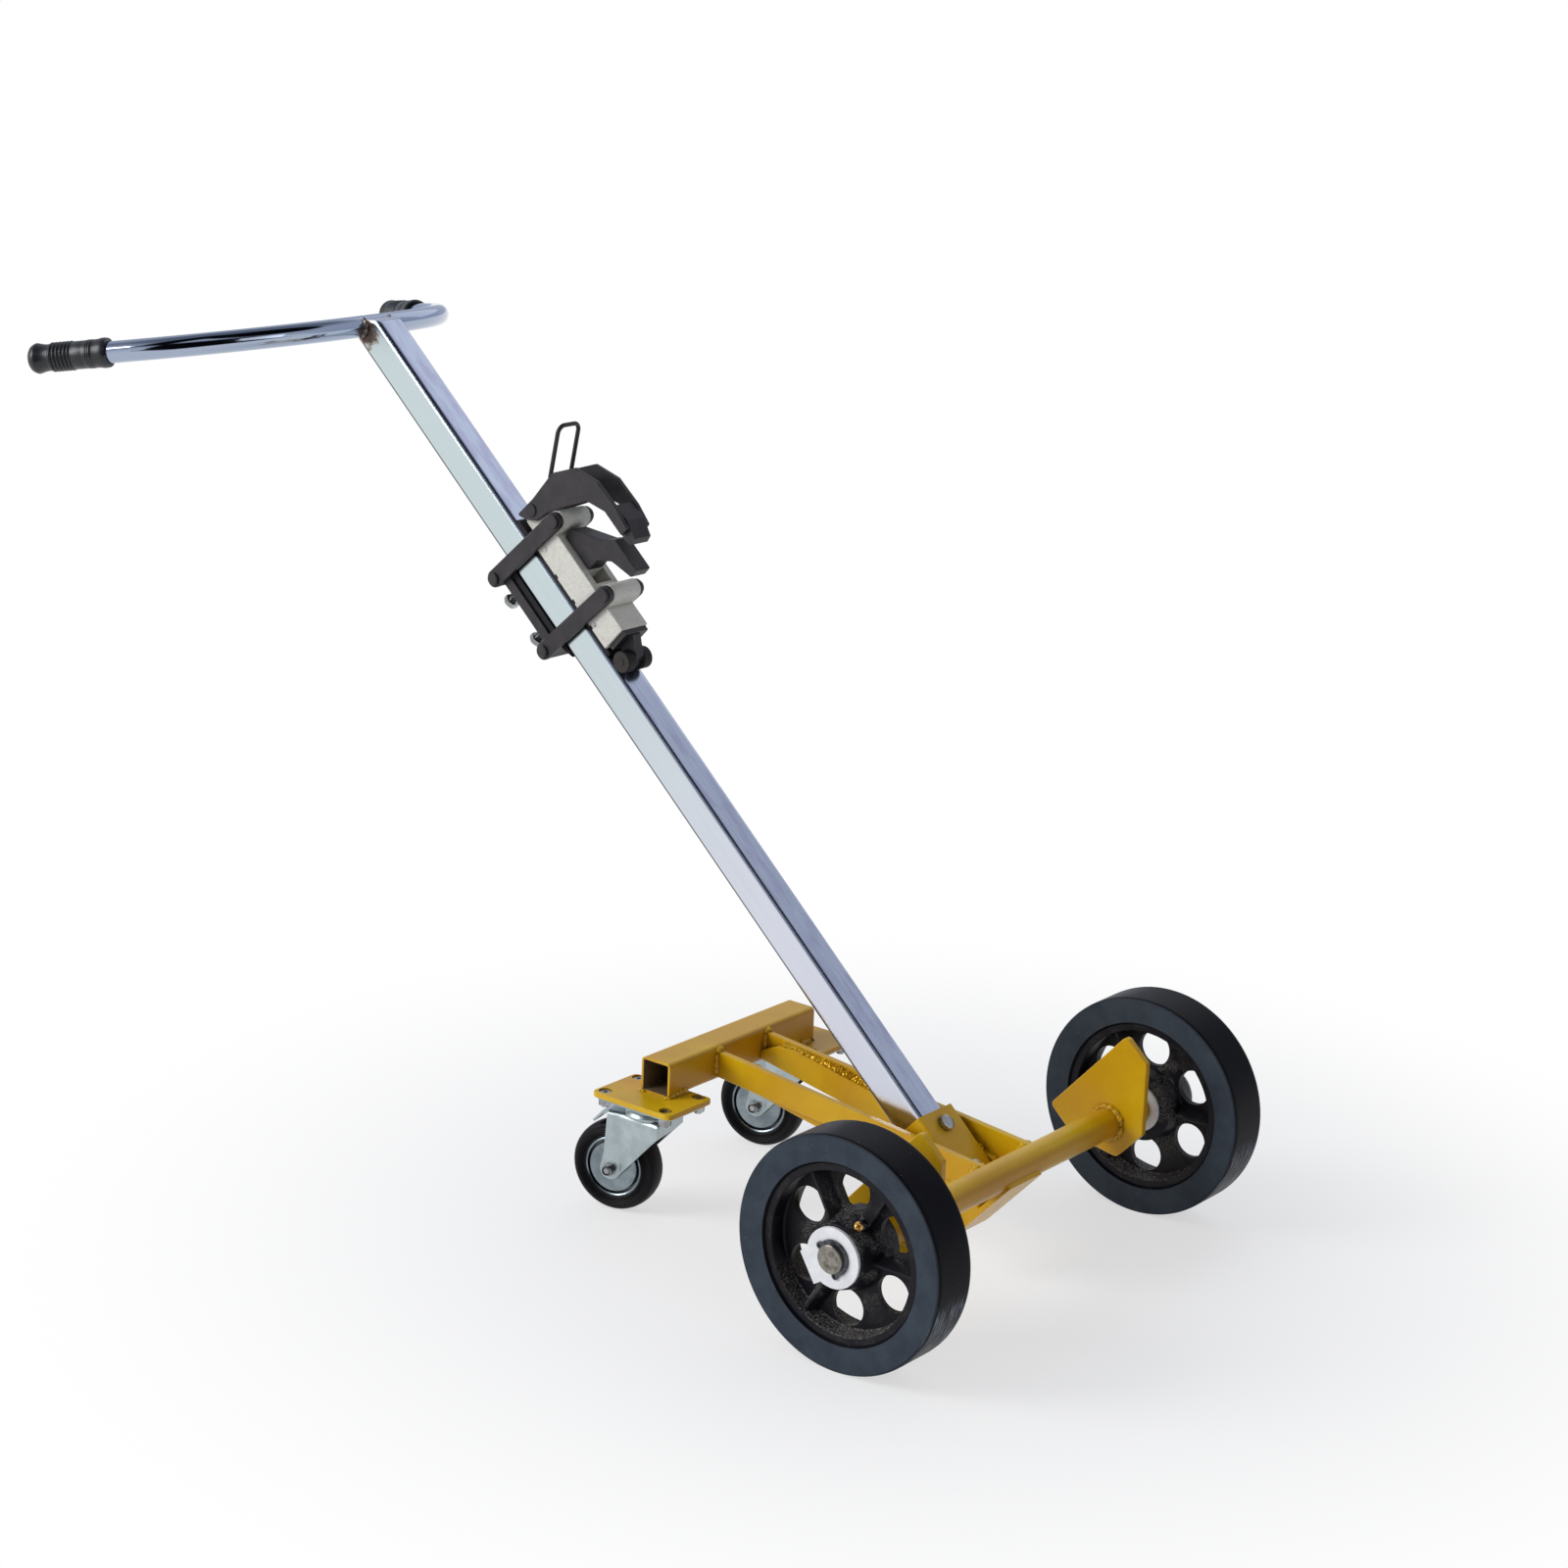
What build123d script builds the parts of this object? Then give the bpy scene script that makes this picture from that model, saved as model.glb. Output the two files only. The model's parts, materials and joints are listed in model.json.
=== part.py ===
# Four-wheel drum trolley: two large front wheels on a through axle, two swivel
# casters behind, a leaning square mast with a bow handle, and a rim clamp that
# slides on the mast.
#
# Frame: millimetres, +X towards the load, +Y to the operator's left, +Z up.
# The origin is on the floor under the middle of the bounding box.

import math
import os

from build123d import *

# Front wheels and axle
AXLE_X = 543.9
WHEEL_R = 125.0
WHEEL_HALF = 27.0
WHEEL_Y = 276.7
CORE_R = 93.6
CORE_HALF = 22.0
CORE_WALL_R = 86.0
HUB_FOOT_R = 42.4
HUB_FACE_R = 34.5
HUB_OUT = 29.8
HUB_IN = 27.0
WEB_HALF = 3.6
HOLE_COUNT = 6
HOLE_R = 19.5
HOLE_RING = 62.7
HOLE_TURN = 29.5
RIB_COUNT = 3
RIB_TURN = HOLE_TURN + 90
RIB_IN_R = 30.0
RIB_OUT_R = 88.5
RIB_FOOT_HALF = 10.5
RIB_TOP_HALF = 1.5
RIB_TOP = 18.0
NIPPLE_BAR_HALF = 6.0
NIPPLE_RING = 41.8
NIPPLE_TURN = 60.0
NIPPLE_FACE = 20.5
NIPPLE_STEM_R = 3.0
AXLE_R = 15.0
AXLE_END = 316.5
AXLE_TUBE_R = 17.0
AXLE_TUBE_END = 245.5
BUSH_R = 19.0
RUN_FIT = 0.05
WASHER_THICK = 3.7
WASHER_AT = 306.9
WASHER_R = 32.0
INNER_WASHER_R = 27.0
TAB_REACH = 36.4
TAB_WIDE = 35.4
TAB_TURN = 212.0
CLIP_AT = 310.8
CLIP_THICK = 1.8
CLIP_GROOVE_R = 13.6
CLIP_OUT_R = 19.0
CLIP_EYE_RING = 18.0
CLIP_EYE_R = 3.8
CLIP_EYE_BORE = 1.5
CLIP_EYES = (147.0, 286.0)

# Base frame
TUBE = 40.0
TUBE_WALL = 3.0
TUBE_CORNER = 5.0
CROSS_X = -385.0
CROSS_Z = 161.0
CROSS_HALF = 128.0
BAR_DEPTH = 30.0
SIDE_BAR_IN = 39.0
SIDE_BAR_OUT = 47.0
BRACE_BAR_IN = 31.0
BRACE_SLOPE = 10.3
BRACE_BACK = -365.0
BRACE_BACK_Z = 160.0
BRACE_CUT_DEEP = 20.0
BRACE_CUT_MID = (22.0, 6.0)
BRACE_CUT_LONG = 45.0
BRACE_FRONT = -42.0
PAD_X = -387.5
PAD_Y = 130.0
PAD_LONG = 111.0
PAD_WIDE = 75.0
PAD_THICK = 6.0
PAD_CORNER = 7.0
LUG_IN = 186.0
LUG_OUT = 194.0
SOCKET_BOLTS = (-45.0, 12.0)
SOCKET_TOP = 30.0
SOCKET_N = 26.0
SOCKET_FOOT = 6.0
PLATE_EDGE = 0.8

# Casters: two equal ones, drawn round the kingpin with the wheel straight behind it
CASTER_X = -389.3
CASTER_Y = 128.0
CASTER_TURN_R = 12.5
CASTER_TURN_L = 11.5
CASTER_R = 51.5
CASTER_TRAIL = 39.0
CASTER_RIM_R = 34.3
CASTER_AXLE_R = 4.0
CASTER_NUT = 12.0
CASTER_END = 28.8
TOP_PLATE = 3.3
BOLT_X = 43.0
BOLT_Y = 28.0
BOLT_R = 4.0
BOLT_HEAD_R = 6.6
BOLT_HEAD = 2.6
BOLT_SINK_R = 7.5
BOLT_SINK = 4.0
BOLT_NUT = 13.0
KINGPIN_R = 6.0
RACE_UNDER = 9.0
FORK_IN = 18.0
FORK_WALL = 2.5
FORK_TOP = 119.0
FORK_BEND = 6.0
FORK_CREASE = -27.0
FORK_FRONT = 23.5
FORK_FLARE = 12.0

# Mast and handle
MAST_BACK = 96.9
MAST_LEAN = 47.41
MAST_FOOT = -85.0
MAST_CAP_S = 1122.0
MAST_TOP_Z = 912.0
MAST_TOP_ROUND = 9.0
HANDLE_S = 1156.1
HANDLE_N = -7.7
HANDLE_FALL = 9.7
HANDLE_R = 12.5
HANDLE_WALL = 2.0
BOW_STRAIGHT = 12.0
BOW_R = 246.0
BOW_TURN = 65.0
ARM = 31.0
GRIP = 98.0
GRIP_BORE = 90.0

# Rim clamp, in mast coordinates: n square to the mast and forward, s up along it
LINK_TILT = 5.0
LINK_LONG = 119.0
LINK_HALF = 10.0
LINK_IN = 22.6
LINK_OUT = 28.6
REAR_N = -45.0
UPPER_REAR_S = 816.0
LOWER_REAR_S = 712.0
PIN_R = 5.0
BLOCK_HALF = 22.0
BLOCK_BACK = 26.0
BLOCK_FRONT = 62.0
BLOCK_FOOT = 660.0
BLOCK_TOP = 818.0
NECK_HALF = 13.4
PIVOT_N = 50.0
PIVOT_S = 839.0
CHEEK_IN = 14.0
CHEEK_OUT = 20.0
SLIDE_GAP = 0.4
ROLLER_R = 12.5
ROLLER_S = 636.0
ADJUSTER_S = (794.0, 739.0)
ANVIL_FOOT = 742.0
ANVIL_TOP = 790.0
PAD_PIN_SPOTS = ((36.0, 794.0), (33.0, 689.0))
PAD_PIN_R = 3.0
ROLLER_PIN_R = 4.0
HEX_BOLT = 16.0
HEX_HEAD = 6.4
HEX_NUT = 8.0
HEX_SHANK_R = 5.0
BAIL_R = 2.5
BAIL_FOOT = (96.0, 848.0)
BAIL_TOP = (148.0, 880.0)
CHEEK = [
    (29, 849), (60, 847), (104, 849), (134, 832), (149, 800), (150, 762), (146, 736), (134, 736),
    (134, 770), (122, 794), (100, 806), (66, 822), (47, 826), (36, 836),
]

HALF_TUBE = TUBE / 2
CROSS_FRONT = CROSS_X + HALF_TUBE
CROSS_UNDER = CROSS_Z - HALF_TUBE
PAD_UNDER = CROSS_UNDER - PAD_THICK
LINK_RUN = LINK_LONG * math.cos(math.radians(LINK_TILT))
LINK_DROP = LINK_LONG * math.sin(math.radians(LINK_TILT))
FRONT_N = REAR_N + LINK_RUN
UPPER_FRONT_S = UPPER_REAR_S - LINK_DROP
LOWER_FRONT_S = LOWER_REAR_S - LINK_DROP
ROLLER_N = HALF_TUBE + SLIDE_GAP + ROLLER_R

AXLE_FRAME = Pos(AXLE_X, 0, 0)
MAST_FRAME = Pos(AXLE_X - MAST_BACK, 0, WHEEL_R) * Rot(0, -MAST_LEAN, 0)
AXLE_N = MAST_BACK * math.cos(math.radians(MAST_LEAN))
AXLE_S = -MAST_BACK * math.sin(math.radians(MAST_LEAN))


# Shape helpers
def rod_y(radius, y0, y1, x, z):
    return Pos(x, (y0 + y1) / 2, z) * Rot(90, 0, 0) * Cylinder(radius, y1 - y0)


def rod_x(radius, x0, x1, y, z):
    return Pos((x0 + x1) / 2, y, z) * Rot(0, 90, 0) * Cylinder(radius, x1 - x0)


def box(x0, x1, y0, y1, z0, z1):
    return Pos((x0 + x1) / 2, (y0 + y1) / 2, (z0 + z1) / 2) * Box(x1 - x0, y1 - y0, z1 - z0)


def outline(points, radius=0.0):
    face = make_face(Polyline(*points, close=True))
    if radius:
        face = fillet(face.vertices(), radius)
    return face


def plate_y(face, y0, y1):
    return extrude(Plane.XZ.offset(-y1) * face, amount=y1 - y0)


def eased(plate, size):
    ends = plate.faces().sort_by(Axis.Y)
    return chamfer(ends[0].outer_wire().edges() + ends[-1].outer_wire().edges(), size)


def headed_pin(radius, head_r, half, head, n, s):
    pin = rod_y(radius, -half - head, half + head, n, s)
    for side in (-1, 1):
        y0, y1 = sorted((side * half, side * (half + head)))
        cap = rod_y(head_r, y0, y1, n, s)
        rim = cap.edges().filter_by(GeomType.CIRCLE).sort_by(Axis.Y)
        pin += chamfer(rim[0] if side < 0 else rim[-1], head / 3)
    return pin


def turned(points):
    return revolve(Plane.XZ * make_face(Polyline(*points, close=True)), axis=Axis.Z)


def hexagon(across):
    return RegularPolygon(across / math.sqrt(3), 6)


def hexagon_x(across, x0, x1, y, z):
    face = hexagon(across)
    return extrude(Plane((x0, y, z), x_dir=(0, 1, 0), z_dir=(1, 0, 0)) * face, amount=x1 - x0)


def polar(radius, degrees):
    return (radius * math.cos(math.radians(degrees)), radius * math.sin(math.radians(degrees)))


def group(*solids):
    return Compound(children=[s if isinstance(s, Solid) else s.solid() for s in solids])


def left_of(right_piece):
    return mirror(right_piece, about=Plane.XZ)


def square_tube(length):
    outer = RectangleRounded(TUBE, TUBE, TUBE_CORNER)
    inner = RectangleRounded(TUBE - 2 * TUBE_WALL, TUBE - 2 * TUBE_WALL, TUBE_CORNER - TUBE_WALL)
    return extrude(outer - inner, amount=length)


# Base frame
def cross_tube():
    tube = square_tube(2 * CROSS_HALF)
    return AXLE_FRAME * Pos(CROSS_X, CROSS_HALF, CROSS_Z) * Rot(90, 0, 0) * tube


def caster_bolt_spots():
    return [(CASTER_X + sx * BOLT_X, -CASTER_Y + sy * BOLT_Y) for sx in (-1, 1) for sy in (-1, 1)]


def caster_plate():
    face = Pos(PAD_X, -PAD_Y) * RectangleRounded(PAD_LONG, PAD_WIDE, PAD_CORNER)
    plate = extrude(face, amount=PAD_THICK)
    ends = plate.faces().sort_by(Axis.Z)
    plate = chamfer(ends[0].edges() + ends[-1].edges(), PLATE_EDGE)
    for x, y in caster_bolt_spots():
        plate -= Pos(x, y, PAD_THICK / 2) * Cylinder(BOLT_R, PAD_THICK)
        plate -= Pos(x, y, PAD_THICK - BOLT_SINK / 2) * Cylinder(BOLT_SINK_R, BOLT_SINK)
    return AXLE_FRAME * Pos(0, 0, PAD_UNDER) * plate


def side_bar():
    half = BAR_DEPTH / 2
    back = CROSS_Z - 1
    points = [
        (CROSS_FRONT, back - half),
        (CROSS_FRONT, back + half),
        (0, WHEEL_R + half),
        (0, WHEEL_R - half),
    ]
    bar = eased(plate_y(outline(points), -SIDE_BAR_OUT, -SIDE_BAR_IN), PLATE_EDGE)
    bar -= rod_y(AXLE_TUBE_R, -60, -30, 0, WHEEL_R)
    behind = box(-500, 0, -60, -30, 0, 300)
    return AXLE_FRAME * (bar & behind).solids().sort_by(Axis.X)[0]


def brace_bar():
    half = BAR_DEPTH / 2
    slope = math.tan(math.radians(BRACE_SLOPE))
    front = BRACE_BACK_Z - (BRACE_FRONT - BRACE_BACK) * slope
    points = [(BRACE_BACK, BRACE_BACK_Z - half)]
    # the top corner is cut away in two steps where the bar meets the cross tube
    for along, drop in ((0, BRACE_CUT_DEEP), BRACE_CUT_MID, (BRACE_CUT_LONG, 0)):
        points.append((BRACE_BACK + along, BRACE_BACK_Z + half - along * slope - drop))
    points += [
        (BRACE_FRONT, front + half),
        (BRACE_FRONT, front - half),
    ]
    return AXLE_FRAME * eased(plate_y(outline(points, 3), -SIDE_BAR_IN, -BRACE_BAR_IN), PLATE_EDGE)


def axle_tube():
    tube = rod_y(AXLE_TUBE_R, -AXLE_TUBE_END, AXLE_TUBE_END, 0, WHEEL_R)
    tube -= rod_y(AXLE_R, -AXLE_TUBE_END, AXLE_TUBE_END, 0, WHEEL_R)
    return AXLE_FRAME * tube


def axle():
    rod = rod_y(AXLE_R, -AXLE_END, AXLE_END, 0, WHEEL_R)
    rod = chamfer(rod.edges().filter_by(GeomType.CIRCLE), 1)
    for side in (-1, 1):
        y0, y1 = sorted((side * CLIP_AT, side * (CLIP_AT + CLIP_THICK)))
        rod -= rod_y(AXLE_R + 1, y0, y1, 0, WHEEL_R) - rod_y(CLIP_GROOVE_R, y0, y1, 0, WHEEL_R)
    return AXLE_FRAME * rod


def on_axle_end(face, near, thick):
    return AXLE_FRAME * Pos(0, -near, WHEEL_R) * Rot(90, 0, 0) * extrude(face, amount=thick)


def hub_washers():
    plain = Circle(INNER_WASHER_R) - Circle(AXLE_R)
    tab = Rot(0, 0, TAB_TURN) * Pos(TAB_REACH / 2, 0) * Rectangle(TAB_REACH, TAB_WIDE)
    tabbed = Circle(WASHER_R) + tab - Circle(AXLE_R)
    inner = on_axle_end(plain, AXLE_TUBE_END, WASHER_THICK)
    outer = on_axle_end(tabbed, WASHER_AT, WASHER_THICK)
    return group(inner, outer, left_of(inner), left_of(outer))


def axle_circlips():
    first, last = CLIP_EYES
    open_way = (first + last) / 2
    ring = Rot(0, 0, open_way) * (Pos(-1.2, 0) * Circle(CLIP_OUT_R) - Circle(CLIP_GROOVE_R))
    reach = 3 * CLIP_OUT_R
    gap = (last - first) / 2 - 10
    wedge = Polyline((0, 0), polar(reach, -gap), polar(reach, gap), close=True)
    ring -= Rot(0, 0, open_way) * make_face(wedge)
    for turn in CLIP_EYES:
        eye = Rot(0, 0, turn) * Pos(CLIP_EYE_RING, 0)
        ring += eye * Circle(CLIP_EYE_R)
        ring -= eye * Circle(CLIP_EYE_BORE)
    ring -= Circle(CLIP_GROOVE_R)
    right = on_axle_end(ring, CLIP_AT, CLIP_THICK)
    return group(right, left_of(right))


def cradle_lug():
    top = AXLE_S + 57
    points = [
        (AXLE_N - 50, top),
        (AXLE_N + 88, top + 2),
        (AXLE_N + 88, top - 36),
        (AXLE_N + 28, top - 92),
        (AXLE_N - 18, top - 92),
        (AXLE_N - 50, top - 44),
    ]
    face = outline(points, 6) - Pos(AXLE_N, AXLE_S) * Circle(AXLE_TUBE_R)
    return MAST_FRAME * eased(plate_y(face, -LUG_OUT, -LUG_IN), PLATE_EDGE)


def mast_socket():
    sleeve = RectangleRounded(2 * SOCKET_N, 2 * BRACE_BAR_IN, 4) - RectangleRounded(TUBE, TUBE, TUBE_CORNER)
    socket = Pos(0, 0, MAST_FOOT) * extrude(sleeve, amount=SOCKET_TOP - MAST_FOOT)
    foot = Pos(24, 0) * RectangleRounded(2 * SOCKET_N + 48, 2 * BRACE_BAR_IN, 4)
    socket += Pos(0, 0, MAST_FOOT - SOCKET_FOOT) * extrude(foot, amount=SOCKET_FOOT)
    socket -= rod_y(AXLE_TUBE_R, -60, 60, AXLE_N, AXLE_S)
    for s in SOCKET_BOLTS:
        socket -= rod_x(HEX_SHANK_R, -40, 40, 0, s)
    return MAST_FRAME * socket


def socket_bolts():
    pieces = []
    for s in SOCKET_BOLTS:
        bolt = rod_x(HEX_SHANK_R, -SOCKET_N - 11, SOCKET_N, 0, s)
        bolt += hexagon_x(HEX_BOLT, SOCKET_N, SOCKET_N + HEX_HEAD, 0, s)
        nut = hexagon_x(HEX_BOLT, -SOCKET_N - HEX_NUT, -SOCKET_N, 0, s) - rod_x(HEX_SHANK_R, -60, 0, 0, s)
        pieces += [MAST_FRAME * bolt, MAST_FRAME * nut]
    return group(*pieces)


# Mast and handle
def handle_axis_frame():
    return MAST_FRAME * Pos(HANDLE_N, 0, HANDLE_S)


def mast():
    tube = Pos(0, 0, MAST_FOOT) * square_tube(MAST_CAP_S - MAST_FOOT)
    lean = math.radians(MAST_LEAN)
    rise = MAST_TOP_Z - WHEEL_R
    front_s = (rise - HALF_TUBE * math.sin(lean)) / math.cos(lean)
    back_s = (rise + HALF_TUBE * math.sin(lean)) / math.cos(lean)
    corners = [
        (-HALF_TUBE, MAST_CAP_S),
        (HALF_TUBE, MAST_CAP_S),
        (HALF_TUBE, front_s),
        (-HALF_TUBE, back_s),
    ]
    side = outline(corners)
    side = fillet(side.vertices().sort_by(Axis.X)[-2:].sort_by(Axis.Y)[-1], MAST_TOP_ROUND)
    cap = extrude(RectangleRounded(TUBE, TUBE, TUBE_CORNER), amount=1300)
    cap &= plate_y(side, -HALF_TUBE, HALF_TUBE)
    shape = tube + cap
    shape -= rod_y(HANDLE_R, -60, 60, HANDLE_N, HANDLE_S)
    shape -= box(-60, HANDLE_N, -60, 60, HANDLE_S - 9, 1300)
    for s in SOCKET_BOLTS:
        shape -= rod_x(HEX_SHANK_R, -40, 40, 0, s)
    return MAST_FRAME * shape.solids().sort_by(SortBy.VOLUME)[-1]


def handle_plane():
    fall = math.radians(HANDLE_FALL)
    centre = handle_axis_frame().position
    return Plane(centre, x_dir=(0, 1, 0), z_dir=(-math.sin(fall), 0, math.cos(fall)))


def arm_start():
    turn = math.radians(BOW_TURN)
    return (BOW_STRAIGHT + BOW_R * math.sin(turn), BOW_R * (1 - math.cos(turn)))


def arm_point(distance):
    turn = math.radians(BOW_TURN)
    a, b = arm_start()
    return (a + distance * math.cos(turn), b + distance * math.sin(turn))


def handle_tube():
    bend = CenterArc((BOW_STRAIGHT, BOW_R), BOW_R, -90, BOW_TURN)
    half = [Line((0, 0), (BOW_STRAIGHT, 0)), bend, Line(arm_start(), arm_point(ARM + GRIP_BORE))]
    plane = handle_plane()
    ring = Circle(HANDLE_R) - Circle(HANDLE_R - HANDLE_WALL)
    path = Wire([plane * edge for edge in half])
    start = Plane(plane.origin, x_dir=plane.z_dir, z_dir=(0, 1, 0))
    left = sweep(start * ring, path=path)
    return left + left_of(left)


def grip():
    profile = [(HANDLE_R, 0), (16.6, 0), (17.0, 1), (17.0, 3.5), (15.6, 5), (15.6, 7)]
    profile += [(16.6, 8), (16.6, 10), (15.6, 11), (15.6, 13)]
    profile += [(16.6, 14), (16.6, 16), (15.9, 17.5), (16.0, 34)]
    for ring in range(6):
        z = 35 + 5.6 * ring
        profile += [(17.0, z + 0.6), (17.0, z + 3.2), (15.6, z + 3.8), (15.6, z + 5.4)]
    profile += [(15.2, GRIP - 27), (15.4, GRIP - 22), (17.2, GRIP - 15.5), (17.6, GRIP - 10.5)]
    profile += [(16.8, GRIP - 6), (13.5, GRIP - 2), (7, GRIP), (0, GRIP)]
    profile += [(0, GRIP_BORE), (HANDLE_R, GRIP_BORE)]
    sleeve = turned(profile)
    turn = math.radians(BOW_TURN)
    plane = handle_plane()
    a, b = arm_point(ARM)
    along = plane.x_dir * math.cos(turn) + plane.y_dir * math.sin(turn)
    foot = plane.from_local_coords((a, b, 0))
    return left_of(Plane(foot, x_dir=plane.z_dir, z_dir=along).location * sleeve)


# Front wheels, drawn with the axle along local Z and the outer face up
def on_axle(shape):
    return AXLE_FRAME * Pos(0, -WHEEL_Y, WHEEL_R) * Rot(90, 0, 0) * shape


def both_sides(half):
    return half + [(r, -z) for r, z in reversed(half)]


def wheel_tyre():
    half = [(CORE_R, CORE_HALF), (96, WHEEL_HALF - 2), (122.5, WHEEL_HALF), (124.2, WHEEL_HALF - 0.8)]
    half += [(124.8, WHEEL_HALF - 2.5), (WHEEL_R, WHEEL_HALF - 5)]
    return on_axle(turned(both_sides(half)))


def wheel_core():
    web_end = CORE_WALL_R - 3.2
    points = [
        (BUSH_R, -HUB_IN), (37, -HUB_IN), (39, -HUB_IN + 2), (HUB_FOOT_R - 1.9, -WEB_HALF - 2),
        (HUB_FOOT_R, -WEB_HALF), (web_end, -WEB_HALF), (web_end + 1.8, -WEB_HALF - 2),
        (CORE_WALL_R, -CORE_HALF + 1), (CORE_WALL_R + 1, -CORE_HALF), (CORE_R, -CORE_HALF),
        (CORE_R, CORE_HALF), (CORE_WALL_R + 1, CORE_HALF), (CORE_WALL_R, CORE_HALF - 1),
        (web_end + 1.8, WEB_HALF + 2), (web_end, WEB_HALF), (HUB_FOOT_R, WEB_HALF),
        (HUB_FOOT_R - 1.9, WEB_HALF + 2), (HUB_FACE_R, HUB_OUT - 1.2), (HUB_FACE_R - 1.2, HUB_OUT),
        (BUSH_R, HUB_OUT),
    ]
    core = turned(points)
    wedge = [(RIB_FOOT_HALF, 0), (RIB_TOP_HALF, RIB_TOP), (-RIB_TOP_HALF, RIB_TOP)]
    wedge += [(-RIB_FOOT_HALF, 0), (-RIB_TOP_HALF, -RIB_TOP), (RIB_TOP_HALF, -RIB_TOP)]
    rib = extrude(Plane.YZ.offset(RIB_IN_R) * outline(wedge), amount=RIB_OUT_R - RIB_IN_R)
    for k in range(RIB_COUNT):
        core += Rot(0, 0, RIB_TURN + 360 / RIB_COUNT * k) * rib
    bar = outline([(RIB_IN_R, -3), (RIB_OUT_R, -3), (RIB_OUT_R, 11), (RIB_IN_R, 15)])
    core += Rot(0, 0, NIPPLE_TURN) * plate_y(bar, -NIPPLE_BAR_HALF, NIPPLE_BAR_HALF)
    for k in range(HOLE_COUNT):
        turn = HOLE_TURN + 360 / HOLE_COUNT * k
        core -= Rot(0, 0, turn) * Pos(HOLE_RING, 0, 0) * Cylinder(HOLE_R, 2 * WHEEL_HALF)
    core += nipple_place() * Pos(0, 0, -NIPPLE_FACE / 2) * Cylinder(5.4, NIPPLE_FACE)
    core -= nipple_place() * Pos(0, 0, -5) * Cylinder(NIPPLE_STEM_R, 10)
    return on_axle(core)


def nipple_place():
    return Rot(0, 0, NIPPLE_TURN) * Pos(NIPPLE_RING, 0, NIPPLE_FACE)


def grease_nipple():
    stem = NIPPLE_STEM_R
    points = [(0, -10), (stem, -10), (stem, 0), (5.2, 0), (5.2, 1.6), (4.6, 2.2), (2.2, 2.6), (2.2, 3.6)]
    points += [(2.9, 4.4), (2.9, 5.2), (1.2, 6.4), (0, 6.4)]
    return on_axle(nipple_place() * turned(points))


def wheel_bush():
    inner = AXLE_R + RUN_FIT
    return on_axle(turned([(inner, -HUB_IN), (BUSH_R, -HUB_IN), (BUSH_R, HUB_OUT), (inner, HUB_OUT)]))


# Caster pieces that stay with the base, right-hand ones drawn
def top_plate():
    face = Pos(CASTER_X, -CASTER_Y) * RectangleRounded(PAD_LONG - 6, PAD_WIDE - 5, PAD_CORNER + 1)
    for x, y in caster_bolt_spots():
        face -= Pos(x, y) * Circle(BOLT_R)
    plate = Pos(0, 0, PAD_UNDER - TOP_PLATE) * extrude(face, amount=TOP_PLATE)
    low = RACE_UNDER - 0.4
    dish = turned([(0, -TOP_PLATE), (0, -5), (20, -5), (22, -low), (30, -low), (34, -TOP_PLATE)])
    plate += Pos(CASTER_X, -CASTER_Y, PAD_UNDER) * dish
    plate -= Pos(CASTER_X, -CASTER_Y, PAD_UNDER) * Cylinder(KINGPIN_R, 20)
    return AXLE_FRAME * plate


def caster_bolts():
    seat = PAD_THICK - BOLT_SINK
    nut_top = -TOP_PLATE
    pieces = []
    for x, y in caster_bolt_spots():
        place = AXLE_FRAME * Pos(x, y, PAD_UNDER)
        head = Pos(0, 0, seat) * extrude(Circle(BOLT_HEAD_R), amount=BOLT_HEAD)
        head = chamfer(head.edges().filter_by(GeomType.CIRCLE).sort_by(Axis.Z)[-1], 0.6)
        head -= Pos(0, 0, seat + 1) * extrude(hexagon(5), amount=BOLT_HEAD)
        shank = Pos(0, 0, nut_top - 9) * extrude(Circle(BOLT_R), amount=seat - nut_top + 9)
        nut = Pos(0, 0, nut_top - 6.5) * extrude(hexagon(BOLT_NUT) - Circle(BOLT_R), amount=6.5)
        bolt = place * (head + shank)
        pieces += [bolt, place * nut, left_of(bolt), left_of(place * nut)]
    return group(*pieces)


def kingpins():
    under = PAD_UNDER - FORK_TOP + FORK_WALL + 0.4
    pin = turned([
        (0, 0), (KINGPIN_R, 0), (KINGPIN_R, -under), (11, -under), (11, -under - 2.6), (8, -under - 4.6),
        (0, -under - 4.6),
    ])
    right = AXLE_FRAME * Pos(CASTER_X, -CASTER_Y, PAD_UNDER) * pin
    return group(right, left_of(right))


# Caster pieces that swivel
def fork_plan(inset, front, back):
    half = FORK_IN + FORK_WALL - inset
    wide = half + (front - FORK_CREASE) * math.tan(math.radians(FORK_FLARE))
    right = [(back, -half), (FORK_CREASE, -half), (front, -wide)]
    return outline(right + [(x, -y) for x, y in reversed(right)])


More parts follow.
